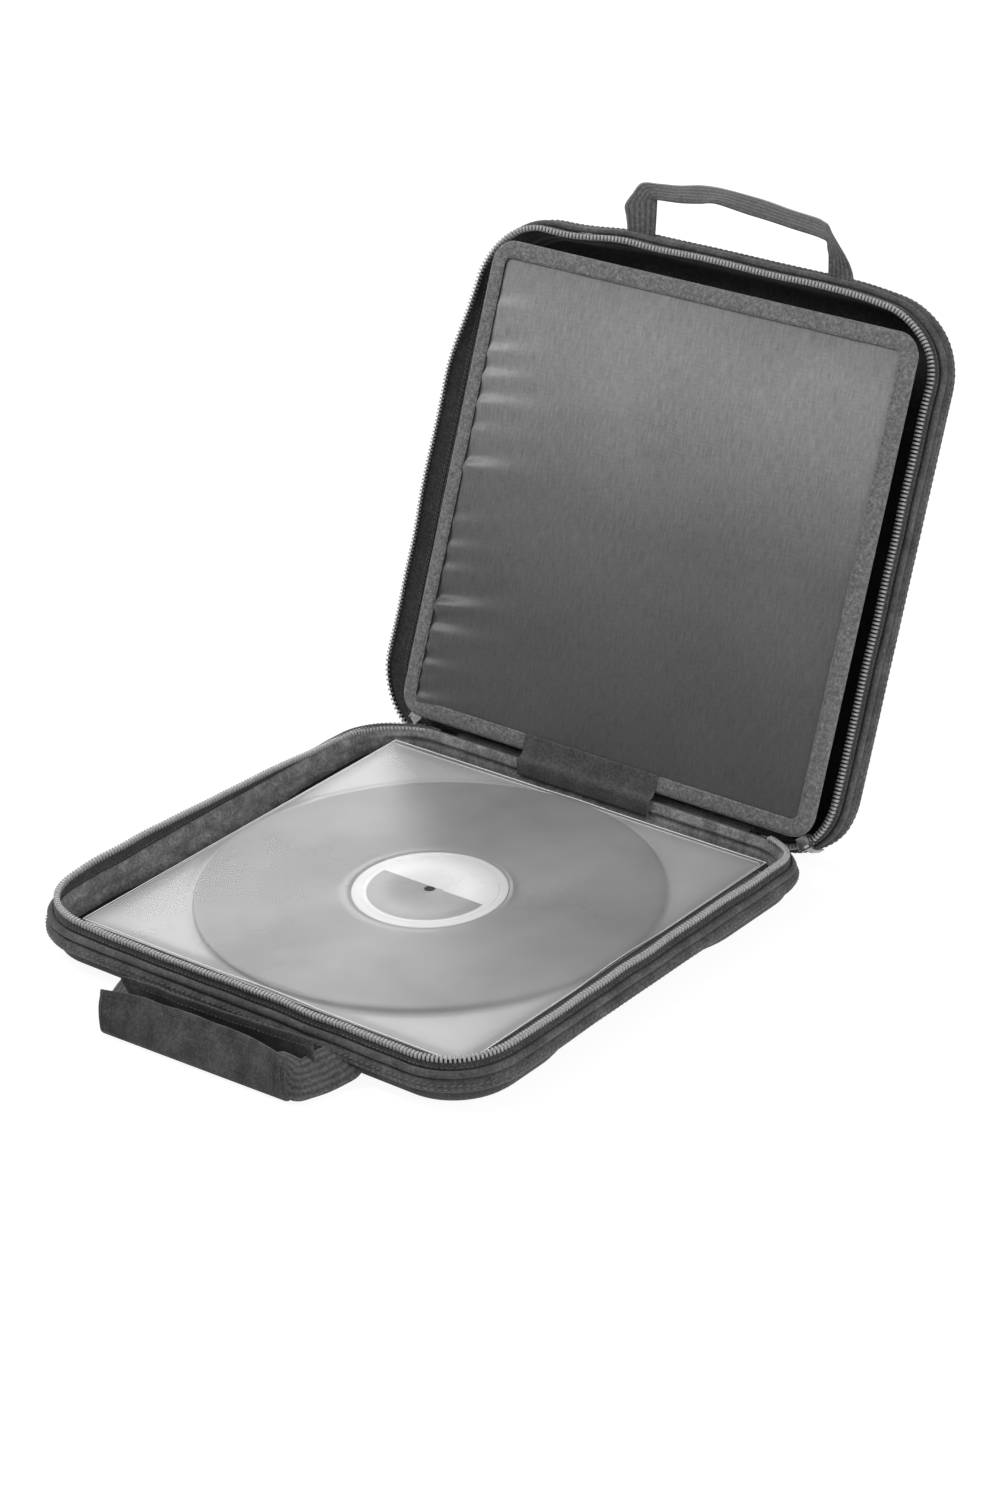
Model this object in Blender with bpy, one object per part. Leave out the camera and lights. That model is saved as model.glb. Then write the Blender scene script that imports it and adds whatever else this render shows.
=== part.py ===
"""Soft zipped record carrying case, standing open, with sleeved records in its base.

Metres, +Z up, front at -Y. The lid and the inner panel are drawn closed and then turned open about the hinge.
"""
import math

import bmesh
import bpy
import numpy as np
from mathutils import Matrix, Vector

# Clearance where pieces touch
GAP = 0.0003

# Records and sleeves
RECORD_DIAMETER = 0.302
RECORD_THICKNESS = 0.0022
LABEL_DIAMETER = 0.100
LABEL_THICKNESS = 0.0003
LABEL_RECESS = 0.0007
SPINDLE_HOLE = 0.0072
SLEEVE_WALL = 0.0005
SLEEVE_SLACK = 0.0007
SLEEVE_MARGIN = 0.0065
LOWER_SLEEVE_TRIM = 0.0015
LOWER_SLEEVE_HEIGHT = 0.0038
LOWER_SLEEVES = 3
SLEEVE_CENTRE = (-0.001, 0.003)
RECORD_SHIFT = (0.0032, -0.001)
SLEEVE_SIDE = RECORD_DIAMETER + SLEEVE_MARGIN
SLEEVE_HEIGHT = RECORD_THICKNESS + 2 * SLEEVE_WALL + SLEEVE_SLACK

# Case halves
SLEEVE_ROOM = 0.02175
CORNER_RADIUS = 0.042
RIM_ABOVE_STACK = 0.006
ZIP_HALF_WIDTH = 0.008
WALL_THICKNESS = 0.0047
WALL_OUT = 0.0032
FLOOR_THICKNESS = 0.0035
SIDE_PINCH = 0.014
PINCH_HEIGHT = 0.014
PINCH_CENTRE_Y = -0.012
REAR_RIM_DROP = 0.004
HALF_SIDE = SLEEVE_SIDE / 2 + SLEEVE_ROOM
CORNER_CENTRE = HALF_SIDE - CORNER_RADIUS
STACK_FLOOR = FLOOR_THICKNESS + GAP
TOP_SLEEVE_Z = STACK_FLOOR + LOWER_SLEEVES * (LOWER_SLEEVE_HEIGHT + GAP)
SHELL_DEPTH = TOP_SLEEVE_Z + SLEEVE_HEIGHT + RIM_ABOVE_STACK
MEET_Z = SHELL_DEPTH + ZIP_HALF_WIDTH
CLOSED_HEIGHT = 2 * MEET_Z

# Rim band and zip
PIPING_DEPTH = 0.0050
PIPING_HEIGHT = 0.012
TAPE_THICKNESS = 0.0012
TAPE_OFFSET = 0.0007
COIL_WIDTH = 0.0030
COIL_HEIGHT = 0.0023
ZIP_GAP = 0.0002
LOW_TAPE = 0.0015

# Hinge line
HINGE_INSET = 0.003
HINGE_BELOW_RIM = 0.0055
OPEN_ANGLE = math.radians(112)
HINGE = Vector((0.0, HALF_SIDE - HINGE_INSET, SHELL_DEPTH - HINGE_BELOW_RIM))

# Inner panel
PANEL_SIDE_ROOM = 0.0055
PANEL_REAR_ROOM = 0.011
PANEL_FRONT_ROOM = 0.0105
PANEL_BELOW_RIM = 0.0016
PANEL_THICKNESS = 0.004
PANEL_CORNER = 0.022
BINDING_WIDTH = 0.0115
BOARD_THICKNESS = 0.0026
PANEL_REAR = HALF_SIDE - PANEL_REAR_ROOM
PANEL_UNDERSIDE = SHELL_DEPTH - PANEL_BELOW_RIM

# Handles and handle wrap
WEBBING_WIDTH = 0.023
WEBBING_THICKNESS = 0.002
LID_HANDLE_X = 0.0075
LID_LEG_SPACING = 0.163
BASE_HANDLE_X = 0.004
BASE_LEG_SPACING = 0.170
LID_LOOP_HEIGHT = 0.038
BASE_STRAP_REACH = 0.039
WRAP_THICKNESS = 0.0035
WRAP_UNDER = 0.0005
WRAP_ROOM = 0.0025
WRAP_END_GAP = 0.0007
WRAP_FRONT_HEIGHT = 0.029
WRAP_REAR_HEIGHT = 0.028
FASTENER_INSET = 0.006
FASTENER_THICKNESS = 0.001
BASE_STRAP_Y = -(HALF_SIDE + BASE_STRAP_REACH)
BASE_STRAP_Z = WRAP_UNDER + WRAP_THICKNESS + 0.0005
WRAP_HALF_LENGTH = (BASE_LEG_SPACING - WEBBING_WIDTH) / 2 - WRAP_END_GAP
WRAP_LEFT = BASE_HANDLE_X - WRAP_HALF_LENGTH
WRAP_RIGHT = BASE_HANDLE_X + WRAP_HALF_LENGTH

# Cloth hinge and panel tab
CLOTH_THICKNESS = 0.001
CLOTH_SIDE_INSET = 0.054
TAB_CENTRE_X = -0.006
TAB_WIDTH = 0.110

# Zip sliders
SLIDER_ANGLE = math.radians(50)
SLIDER_LENGTH = 0.0084
SLIDER_WALL = 0.0009
SLIDER_ROOM = 0.0009
SLIDER_PLATE = 0.0012
SLIDER_LIP = 0.0008
CHEEK_WIDTH = 0.0011
CHEEK_INSET = 0.0002
CHEEK_REACH = 0.0026
PIN_RADIUS = 0.0008
PULL_LENGTH = 0.016
PULL_WIDTH = 0.0044
PULL_THICKNESS = 0.0008

CORNER_STEPS = 7
RECORD_STEPS = 72

# Finishes: colour, roughness, metallic
CHARCOAL = ((0.055, 0.055, 0.058), 0.9, 0.0)
DARK = ((0.02, 0.02, 0.022), 0.85, 0.0)
SATIN = ((0.16, 0.16, 0.165), 0.55, 0.0)
FILM = ((0.62, 0.63, 0.64), 0.3, 0.0)
VINYL = ((0.02, 0.02, 0.02), 0.2, 0.0)
PAPER = ((0.8, 0.8, 0.78), 0.6, 0.0)
NICKEL = ((0.35, 0.35, 0.36), 0.35, 1.0)


def smooth(value, start, end):
    t = min(max((value - start) / (end - start), 0.0), 1.0)
    return t * t * (3 - 2 * t)


def link(name, work, finish, origin=(0, 0, 0), turned=False, flat=False):
    """Makes one object of a bmesh. Its points are in the part's frame with the case closed."""
    if turned:
        turn = Matrix.Rotation(-OPEN_ANGLE, 3, "X")
        bmesh.ops.rotate(work, verts=work.verts, cent=HINGE, matrix=turn)
    bmesh.ops.translate(work, verts=work.verts, vec=-Vector(origin))
    bmesh.ops.recalc_face_normals(work, faces=work.faces)
    mesh = bpy.data.meshes.new(name)
    work.to_mesh(mesh)
    work.free()
    for face in mesh.polygons:
        face.use_smooth = not flat
    colour, roughness, metallic = finish
    material = bpy.data.materials.new(name)
    material.use_nodes = True
    shader = material.node_tree.nodes["Principled BSDF"]
    shader.inputs["Base Color"].default_value = (*colour, 1)
    shader.inputs["Roughness"].default_value = roughness
    shader.inputs["Metallic"].default_value = metallic
    mesh.materials.append(material)
    piece = bpy.data.objects.new(name, mesh)
    piece.location = origin
    bpy.context.scene.collection.objects.link(piece)
    return piece


def unite(piece, other):
    """Joins a second body into a piece, and removes the second object."""
    change = piece.modifiers.new("union", "BOOLEAN")
    change.operation = "UNION"
    change.object = other
    bpy.context.view_layer.objects.active = piece
    bpy.ops.object.modifier_apply(modifier=change.name)
    bpy.data.objects.remove(other)


def skin(work, rings, closed, loop):
    """Quads between neighbouring rings; closed joins the last ring to the first, loop closes each ring."""
    count, size = len(rings), len(rings[0])
    for i in range(count if closed else count - 1):
        near, far = rings[i], rings[(i + 1) % count]
        for j in range(size if loop else size - 1):
            k = (j + 1) % size
            work.faces.new((near[j], near[k], far[k], far[j]))


def sweep(sections, closed=False):
    """One body through equal rings of points, with flat ends unless the path closes."""
    work = bmesh.new()
    rings = [[work.verts.new(point) for point in ring] for ring in sections]
    skin(work, rings, closed, loop=True)
    if not closed:
        work.faces.new(rings[0])
        work.faces.new(rings[-1])
    return work


def tray(sections):
    """Wall sections round a closed path, from the underside's edge to the floor's edge, with both filled."""
    work = bmesh.new()
    rings = [[work.verts.new(point) for point in ring] for ring in sections]
    skin(work, rings, closed=True, loop=False)
    work.faces.new([ring[0] for ring in rings])
    work.faces.new([ring[-1] for ring in rings])
    return work


def box(low, high):
    work = bmesh.new()
    low, high = Vector(low), Vector(high)
    place = Matrix.Translation((low + high) / 2) @ Matrix.Diagonal((*(high - low), 1.0))
    bmesh.ops.create_cube(work, size=1.0, matrix=place)
    return work


def extruded(outline, x0, x1):
    """An outline in the YZ plane, run from x0 to x1."""
    return sweep([[(x, y, z) for y, z in outline] for x in (x0, x1)])


def ribbon(points, widths, thickness):
    """A strap along points; widths are half-width vectors, and the thickness lies square to both."""
    sections = []
    for i, point in enumerate(points):
        ahead = Vector(points[min(i + 1, len(points) - 1)]) - Vector(points[max(i - 1, 0)])
        across = Vector(widths[i])
        up = ahead.cross(across).normalized() * thickness / 2
        corners = ((-1, -1), (1, -1), (1, 1), (-1, 1))
        sections.append([Vector(point) + a * across + b * up for a, b in corners])
    return sweep(sections)


def case_path():
    """Stations round the case from the rear left, by the front, to the rear right: point and outward normal."""
    side = [CORNER_CENTRE * k / 4 for k in (3, 2, 1, 0, -1, -2, -3)]
    stations = []
    for quarter, (sx, sy) in enumerate(((-1, 1), (-1, -1), (1, -1), (1, 1))):
        for step in range(CORNER_STEPS + 1):
            angle = math.pi / 2 * (1 + quarter + step / CORNER_STEPS)
            normal = np.array([math.cos(angle), math.sin(angle)])
            stations.append((np.array([sx, sy]) * CORNER_CENTRE + CORNER_RADIUS * normal, normal))
        if quarter == 0:
            stations += [(np.array([-HALF_SIDE, y]), np.array([-1.0, 0.0])) for y in side]
        if quarter == 1:
            stations += [(np.array([-y, -HALF_SIDE]), np.array([0.0, -1.0])) for y in side[1::2]]
        if quarter == 2:
            stations += [(np.array([HALF_SIDE, -y]), np.array([1.0, 0.0])) for y in side]
    return stations


def rear_path():
    half = CORNER_CENTRE / 2
    return [(np.array([x, HALF_SIDE]), np.array([0.0, 1.0])) for x in (half, 0.0, -half)]


def rim_z(y):
    """The rim's height, which drops a little before the hinge."""
    return SHELL_DEPTH - REAR_RIM_DROP * smooth(y, HALF_SIDE - 0.046, HALF_SIDE - 0.004)


def pinch(x, y, z):
    """How far the lower side wall is drawn in towards the middle of each side."""
    if abs(x) < CORNER_CENTRE:
        return 0.0
    along = 1 - smooth(abs(y - PINCH_CENTRE_Y), 0.2 * HALF_SIDE, 0.54 * HALF_SIDE)
    return SIDE_PINCH * along * min(max(1 - z / PINCH_HEIGHT, 0.0), 1.0)


def at(station, offset, z, lid):
    """A point out from the case's outline, drawn in at the sides. The lid is the base turned over."""
    point, normal = station
    x, y = point + normal * offset
    x -= math.copysign(pinch(x, y, z), x)
    return (x, y, CLOSED_HEIGHT - z if lid else z)


def shell(name, lid):
    outer = WALL_OUT
    inner = WALL_OUT - WALL_THICKNESS
    sections = []
    for station in case_path() + rear_path():
        top = rim_z(station[0][1])
        profile = [(-0.006, 0.0), (-0.002, 0.0012), (0.0015, 0.005), (0.003, 0.009), (outer, 0.0135),
                   (outer, top - 0.0022), (outer - 0.0012, top - 0.0004), (0.0007, top),
                   (inner + 0.0008, top - 0.0006), (inner, top - 0.0022), (inner, 0.013),
                   (inner - 0.0004, 0.009), (-0.004, 0.005), (-0.0075, FLOOR_THICKNESS)]
        sections.append([at(station, offset, z, lid) for offset, z in profile])
    link(name, tray(sections), CHARCOAL, HINGE if lid else (0, 0, 0), lid)


def piping(name, lid):
    """Rounded padded band under the rim, thinner towards the hinge."""
    sections = []
    half = PIPING_HEIGHT / 2
    inner = WALL_OUT + GAP
    for station in case_path():
        y = station[0][1]
        depth = PIPING_DEPTH * (1 - 0.78 * smooth(y, HALF_SIDE - 0.026, HALF_SIDE))
        middle = rim_z(y) - half
        profile = [(0.0, -1.0), (0.55, -0.92), (1.0, -0.45), (1.0, 0.35), (0.6, 0.85), (0.0, 0.9)]
        sections.append([at(station, inner + out * depth, middle + up * half, lid) for out, up in profile])
    link(name, sweep(sections), CHARCOAL, HINGE if lid else (0, 0, 0), lid)


def tape_top(y, lid):
    """The base's tape folds low before the hinge, to leave room for the panel; the lid's stays up."""
    high = MEET_Z - ZIP_GAP - COIL_HEIGHT - GAP
    if lid:
        return high
    return high + (rim_z(y) + LOW_TAPE - high) * smooth(y, HALF_SIDE - 0.091, HALF_SIDE - 0.026)


def zip_half(side, lid):
    """Tape standing on the rim, with the bead of teeth along its edge."""
    stations = case_path()
    skipped = 2 if lid else 4
    tape, coil = [], []
    for station in stations[skipped:-skipped]:
        y = station[0][1]
        low, high, half = rim_z(y) + GAP, tape_top(y, lid), TAPE_THICKNESS / 2
        corners = ((-half, low), (half, low), (half, high), (-half, high))
        tape.append([at(station, TAPE_OFFSET + out, z, lid) for out, z in corners])
        low, half = high + GAP, COIL_WIDTH / 2
        corners = ((-0.5, 0), (0.5, 0), (1, 0.5), (0.5, 1), (-0.5, 1), (-1, 0.5))
        coil.append([at(station, TAPE_OFFSET + out * half, low + up * COIL_HEIGHT, lid) for out, up in corners])
    origin = HINGE if lid else (0, 0, 0)
    link(f"{side}_zip_tape", sweep(tape), DARK, origin, lid)
    link(f"{side}_zip_coil", sweep(coil), DARK, origin, lid)


def panel_outline(inset):
    """The panel's rounded outline in plan, drawn in by inset."""
    half = HALF_SIDE - PANEL_SIDE_ROOM
    front = -(HALF_SIDE - PANEL_FRONT_ROOM)
    radius = PANEL_CORNER - inset
    ring = []
    for quarter, (sx, edge) in enumerate(((1, PANEL_REAR), (-1, PANEL_REAR), (-1, front), (1, front))):
        middle = (sx * (half - PANEL_CORNER), edge - math.copysign(PANEL_CORNER, edge))
        for step in range(6):
            angle = math.pi / 2 * (quarter + step / 5)
            ring.append((middle[0] + radius * math.cos(angle), middle[1] + radius * math.sin(angle)))
    return ring


def panel():
    """A cloth-covered board in a folded binding."""
    profile = [(BINDING_WIDTH, 0.0), (0.0012, 0.0), (0.0, 0.3), (0.0, 0.7), (0.0012, 1.0), (BINDING_WIDTH, 1.0)]
    rings = [[(x, y, PANEL_UNDERSIDE + up * PANEL_THICKNESS) for x, y in panel_outline(inset)]
             for inset, up in profile]
    link("panel_binding", sweep(list(zip(*rings)), closed=True), CHARCOAL, HINGE, True)
    low = PANEL_UNDERSIDE + (PANEL_THICKNESS - BOARD_THICKNESS) / 2
    outline = panel_outline(BINDING_WIDTH + GAP)
    board = sweep([[(x, y, z) for x, y in outline] for z in (low, low + BOARD_THICKNESS)])
    link("panel_board", board, SATIN, HINGE, True, flat=True)


def turned_plate(name, profile, finish):
    """A round plate: a profile of radius and height, turned about the record's middle."""
    work = bmesh.new()
    middle = Vector((SLEEVE_CENTRE[0] + RECORD_SHIFT[0], SLEEVE_CENTRE[1] + RECORD_SHIFT[1], 0))
    verts = [work.verts.new(middle + Vector((radius, 0, z))) for radius, z in profile]
    edges = [work.edges.new((verts[i - 1], verts[i])) for i in range(len(verts))]
    bmesh.ops.spin(work, geom=verts + edges, cent=middle, axis=(0, 0, 1), angle=2 * math.pi,
                   steps=RECORD_STEPS, use_merge=True)
    link(name, work, finish, flat=True)


def records():
    cx, cy = SLEEVE_CENTRE
    half = (SLEEVE_SIDE - LOWER_SLEEVE_TRIM) / 2
    for index in range(LOWER_SLEEVES):
        low = STACK_FLOOR + index * (LOWER_SLEEVE_HEIGHT + GAP)
        stacked = box((cx - half, cy - half, low), (cx + half, cy + half, low + LOWER_SLEEVE_HEIGHT))
        link(f"sleeved_record_{index + 1}", stacked, FILM, flat=True)
    top_sleeve()
    hole, outer = SPINDLE_HOLE / 2, RECORD_DIAMETER / 2
    bottom = TOP_SLEEVE_Z + SLEEVE_WALL + GAP
    top = bottom + RECORD_THICKNESS
    recess = top - LABEL_RECESS
    recess_radius = LABEL_DIAMETER / 2 + GAP
    profile = [(hole, bottom), (outer, bottom), (outer, top), (recess_radius, top), (recess_radius, recess),
               (hole, recess)]
    turned_plate("record", profile, VINYL)
    low, high = recess + GAP, recess + GAP + LABEL_THICKNESS
    outer = LABEL_DIAMETER / 2
    turned_plate("record_label", [(hole, low), (outer, low), (outer, high), (hole, high)], PAPER)


def top_sleeve():
    """A flat pocket of film, open on its right side."""
    cx, cy = SLEEVE_CENTRE
    half, wall, low = SLEEVE_SIDE / 2, SLEEVE_WALL, TOP_SLEEVE_Z
    x0, x1, y0, y1 = cx - half, cx + half, cy - half, cy + half
    work = bmesh.new()
    rings = []
    for inset, heights in ((0.0, (low, low + SLEEVE_HEIGHT)), (wall, (low + wall, low + SLEEVE_HEIGHT - wall))):
        corners = [(x1, y0 + inset), (x1, y1 - inset), (x0 + inset, y1 - inset), (x0 + inset, y0 + inset)]
        for z in heights:
            rings.append([work.verts.new((x, y, z)) for x, y in corners])
            work.faces.new(rings[-1])
    outer_low, outer_high, inner_low, inner_high = rings
    for under, over in ((outer_low, outer_high), (inner_low, inner_high)):
        for a, b in ((1, 2), (2, 3), (3, 0)):
            work.faces.new((under[a], under[b], over[b], over[a]))
    for one, two, third, fourth in ((outer_low, inner_low, 0, 1), (outer_high, inner_high, 1, 0)):
        work.faces.new((one[third], one[fourth], two[fourth], two[third]))
    for corner in (0, 1):
        work.faces.new((outer_low[corner], outer_high[corner], inner_high[corner], inner_low[corner]))
    link("record_sleeve", work, FILM, flat=True)


def lid_handle():
    """Webbing loop: upright legs, turned on edge along the hand span."""
    front = -(HALF_SIDE + WALL_OUT + PIPING_DEPTH + 2 * GAP)
    half, rise = WEBBING_WIDTH / 2, LID_LOOP_HEIGHT
    z = CLOSED_HEIGHT - SHELL_DEPTH + PIPING_HEIGHT / 2
    places = ((0.0, GAP), (0.0, 0.45 * rise), (0.0, 0.80 * rise),
              (0.008, 0.95 * rise), (0.026, rise), (0.054, rise))
    left = [(LID_HANDLE_X - LID_LEG_SPACING / 2 + inward, front - out, z) for inward, out in places]
    turns = ((1.0, 0.0, 0.0), (1.0, 0.0, 0.0), (0.8, 0.35, 0.17),
             (0.45, 0.35, 0.52), (0.0, 0.3, 0.83), (0.0, 0.3, 0.91))
    spread = [(half * x, half * y, half * z) for x, y, z in turns]
    right = [(2 * LID_HANDLE_X - x, y, z) for x, y, z in reversed(left)]
    back = [(-x, y, z) for x, y, z in reversed(spread)]
    link("lid_handle", ribbon(left + right, spread + back, WEBBING_THICKNESS), CHARCOAL, HINGE, True)


def base_handle():
    """Webbing on the floor: two legs from the front wall, joined by the hand span through the wrap."""
    half = WEBBING_WIDTH / 2
    start = -(HALF_SIDE + WALL_OUT + GAP + 0.0005)
    inner, outer = BASE_STRAP_Y + half, BASE_STRAP_Y - half
    low = BASE_STRAP_Z
    run = start - inner
    leg = [(start, low + 0.006), (start - 0.35 * run, low + 0.0034), (start - 0.75 * run, low + 0.0012),
           (inner, low)]
    path = leg + [(outer, low)]
    work = bmesh.new()
    rows = {}
    for side in (-1, 1):
        for edge in (-1, 1):
            x = BASE_HANDLE_X + side * (BASE_LEG_SPACING / 2 - edge * half)
            rows[side, edge] = [[work.verts.new((x, y, z + lift)) for lift in (0, WEBBING_THICKNESS)]
                                for y, z in path]
    last = len(path) - 1
    for side in (-1, 1):
        near, far = rows[side, 1], rows[side, -1]
        for k in range(last):
            for level in (0, 1):
                work.faces.new((near[k][level], far[k][level], far[k + 1][level], near[k + 1][level]))
            work.faces.new((far[k][0], far[k][1], far[k + 1][1], far[k + 1][0]))
            if k < last - 1:
                work.faces.new((near[k][0], near[k][1], near[k + 1][1], near[k + 1][0]))
        work.faces.new((near[0][0], near[0][1], far[0][1], far[0][0]))
        work.faces.new((near[last][0], near[last][1], far[last][1], far[last][0]))
    left, right = rows[-1, 1], rows[1, 1]
    for level in (0, 1):
        span = (left[last - 1][level], right[last - 1][level], right[last][level], left[last][level])
        work.faces.new(span)
    for k in (last - 1, last):
        work.faces.new((left[k][0], right[k][0], right[k][1], left[k][1]))
    link("base_handle_strap", work, CHARCOAL, flat=True)


def fastener(name, low, high, x0, x1):
    """A strip of hook or loop tape along a flap, from low to high, on the right of that line."""
    low, high = Vector(low), Vector(high)
    along = (high - low).normalized()
    out = Vector((along.y, -along.x))
    near = 2 * GAP + 0.0002
    far = near + FASTENER_THICKNESS
    inset = 0.0015
    corners = ((low + along * inset, near), (high - along * inset, near), (high - along * inset, far),
               (low + along * inset, far))
    outline = [Vector((BASE_STRAP_Y, 0)) + point + depth * out for point, depth in corners]
    link(name, extruded(outline, x0, x1), DARK, flat=True)


def handle_wrap():
    """Padded cloth round the webbing, open at the top, with hook tape inside the front and loop tape behind."""
    w = WEBBING_WIDTH / 2 + WRAP_ROOM
    t = WRAP_THICKNESS
    floor = WRAP_UNDER + t
    front, rear = WRAP_FRONT_HEIGHT, WRAP_REAR_HEIGHT
    rear_low, rear_high = (w + t - 0.0005, 0.0060), (w + t - 0.0040, rear)
    outer = [rear_high, rear_low, (w, WRAP_UNDER), (-w, WRAP_UNDER), (-w - t - 0.0010, 0.0045),
             (-w - t - 0.0005, 0.0110), (-w - 0.0005, front)]
    front_low, front_high = (-w, 0.0095), (-w + 0.0025, front - 0.0012)
    inner = [front_high, front_low, (-w - 0.0008, 0.0062), (-w + 0.0010, floor), (w - 0.0020, floor),
             (w - 0.0005, 0.0065), (w - 0.0040, rear)]
    outline = [(BASE_STRAP_Y + y, z) for y, z in outer + inner]
    link("handle_wrap", extruded(outline, WRAP_LEFT, WRAP_RIGHT), CHARCOAL, flat=True)
    x0, x1 = WRAP_LEFT + FASTENER_INSET, WRAP_RIGHT - FASTENER_INSET
    fastener("wrap_loop_tape", rear_low, rear_high, x0, x1)
    fastener("wrap_hook_tape", front_low, front_high, x0, x1)


def opened(y, z):
    """Where a point of the closed lid or panel lies once it is open."""
    out = Vector((0, y, z)) - HINGE
    out.rotate(Matrix.Rotation(-OPEN_ANGLE, 3, "X"))
    return (HINGE.y + out.y, HINGE.z + out.z)


def cloth(name, path, middle, half):
    points = [(middle, y, z) for y, z in path]
    link(name, ribbon(points, [(half, 0, 0)] * len(points), CLOTH_THICKNESS), CHARCOAL)


def cloth_hinge():
    """Cloth from the base's rear wall to the lid's, with its slack in a fold between them."""
    wall = HALF_SIDE + WALL_OUT + GAP + CLOTH_THICKNESS / 2
    lid_rim = CLOSED_HEIGHT - SHELL_DEPTH + REAR_RIM_DROP
    z = HINGE.z
    path = [(wall, z - 0.0130), (wall, z - 0.0055), (wall + 0.0022, z - 0.0013), (wall + 0.0060, z - 0.0003),
            (wall + 0.0092, z - 0.0035), (wall + 0.0104, z - 0.0095), opened(wall + 0.0004, lid_rim - 0.002),
            opened(wall, lid_rim + 0.0015), opened(wall, lid_rim + 0.0070)]
    cloth("hinge_cloth", path, 0.0, HALF_SIDE - CLOTH_SIDE_INSET)


def panel_tab():
    """Tape that joins the panel's lower edge to the inside of the base's rear wall."""
    face = PANEL_UNDERSIDE - GAP - CLOTH_THICKNESS / 2
    inside = HALF_SIDE + WALL_OUT - WALL_THICKNESS - GAP - CLOTH_THICKNESS / 2
    z = HINGE.z
    path = [opened(PANEL_REAR - 0.0105, face), opened(PANEL_REAR - 0.001, face), (HINGE.y + 0.0040, z + 0.0045),
            (inside + 0.0004, z + 0.0023), (inside, z), (inside, z - 0.0075)]
    cloth("panel_tab", path, TAB_CENTRE_X, TAB_WIDTH / 2)


def slider(side, sign):
    """A slider rides on each end of the lid's zip; its pull hangs on the outside between two cheeks."""
    normal = Vector((sign * math.cos(SLIDER_ANGLE), math.sin(SLIDER_ANGLE), 0.0))
    along = Vector((-normal.y, normal.x, 0.0))
    centre = Vector((sign * CORNER_CENTRE, CORNER_CENTRE, 0.0)) + normal * (CORNER_RADIUS + TAPE_OFFSET)
    low = MEET_Z + ZIP_GAP - GAP - SLIDER_PLATE - 0.0004

    def put(points):
        return [centre + a * along + out * normal + Vector((0, 0, low + z)) for a, out, z in points]

    slot = COIL_WIDTH / 2 + SLIDER_ROOM
    outside = slot + SLIDER_WALL
    throat = TAPE_THICKNESS / 2 + 0.0007
    shoulder = SLIDER_PLATE + COIL_HEIGHT + 0.0027
    lip, top = shoulder + SLIDER_LIP, shoulder + 2 * SLIDER_LIP
    half = [(outside, 0.0), (outside, top), (throat, top), (throat, lip), (slot, shoulder),
            (slot, SLIDER_PLATE)]
    profile = half + [(-out, z) for out, z in reversed(half)]
    length = SLIDER_LENGTH / 2
    body = sweep([put([(a, out, z) for out, z in profile]) for a in (-length, length)])
    piece = link(f"zip_slider_{side}", body, NICKEL, HINGE, True, flat=True)
    reach = outside + CHEEK_REACH
    cheek = [(outside - 0.0002, 0.0006), (reach - 0.0002, 0.0010),
             (reach - 0.0002, 0.0042), (outside - 0.0002, 0.0046)]
    cheek_end = length - CHEEK_INSET
    cheek_start = cheek_end - CHEEK_WIDTH
    for ends in ((-cheek_end, -cheek_start), (cheek_start, cheek_end)):
        block = sweep([put([(a, out, z) for out, z in cheek]) for a in ends])
        unite(piece, link("cheek", block, NICKEL, HINGE, True, flat=True))

    pin_out, pin_z = outside + 0.0018, 0.0026
    pin = centre + pin_out * normal + Vector((0, 0, low + pin_z))
    y, z = opened(pin.y, pin.z)
    origin = (pin.x, y, z)
    turns = [math.pi * k / 4 for k in range(8)]
    eye = [(pin_out + PIN_RADIUS * math.cos(t), pin_z + PIN_RADIUS * math.sin(t)) for t in turns]
    reach = cheek_start - GAP
    barrel = sweep([put([(a, out, z) for out, z in eye]) for a in (-reach, reach)])
    piece = link(f"slider_pull_{side}", barrel, NICKEL, origin, True, flat=True)
    wide, thick = PULL_WIDTH / 2, PULL_THICKNESS / 2
    start = pin_z + 0.0002
    rings = []
    for z in (start, start + 0.0018, start + 0.0038, start + 0.0058, pin_z + PULL_LENGTH):
        out = pin_out + 0.0020 * smooth(z, start, start + 0.006)
        corners = ((-wide, -thick), (wide, -thick), (wide, thick), (-wide, thick))
        rings.append(put([(a, out + depth, z) for a, depth in corners]))
    unite(piece, link("blade", sweep(rings), NICKEL, origin, True, flat=True))


for existing in list(bpy.data.objects):
    bpy.data.objects.remove(existing)

for side, is_lid in (("base", False), ("lid", True)):
    shell(f"{side}_shell", is_lid)
    piping(f"{side}_rim_piping", is_lid)
    zip_half(side, is_lid)
panel()
records()
lid_handle()
base_handle()
handle_wrap()
cloth_hinge()
panel_tab()
slider("left", -1)
slider("right", 1)
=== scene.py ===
import math

import bmesh
import bpy
import numpy as np
from mathutils import Matrix, Vector


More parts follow.
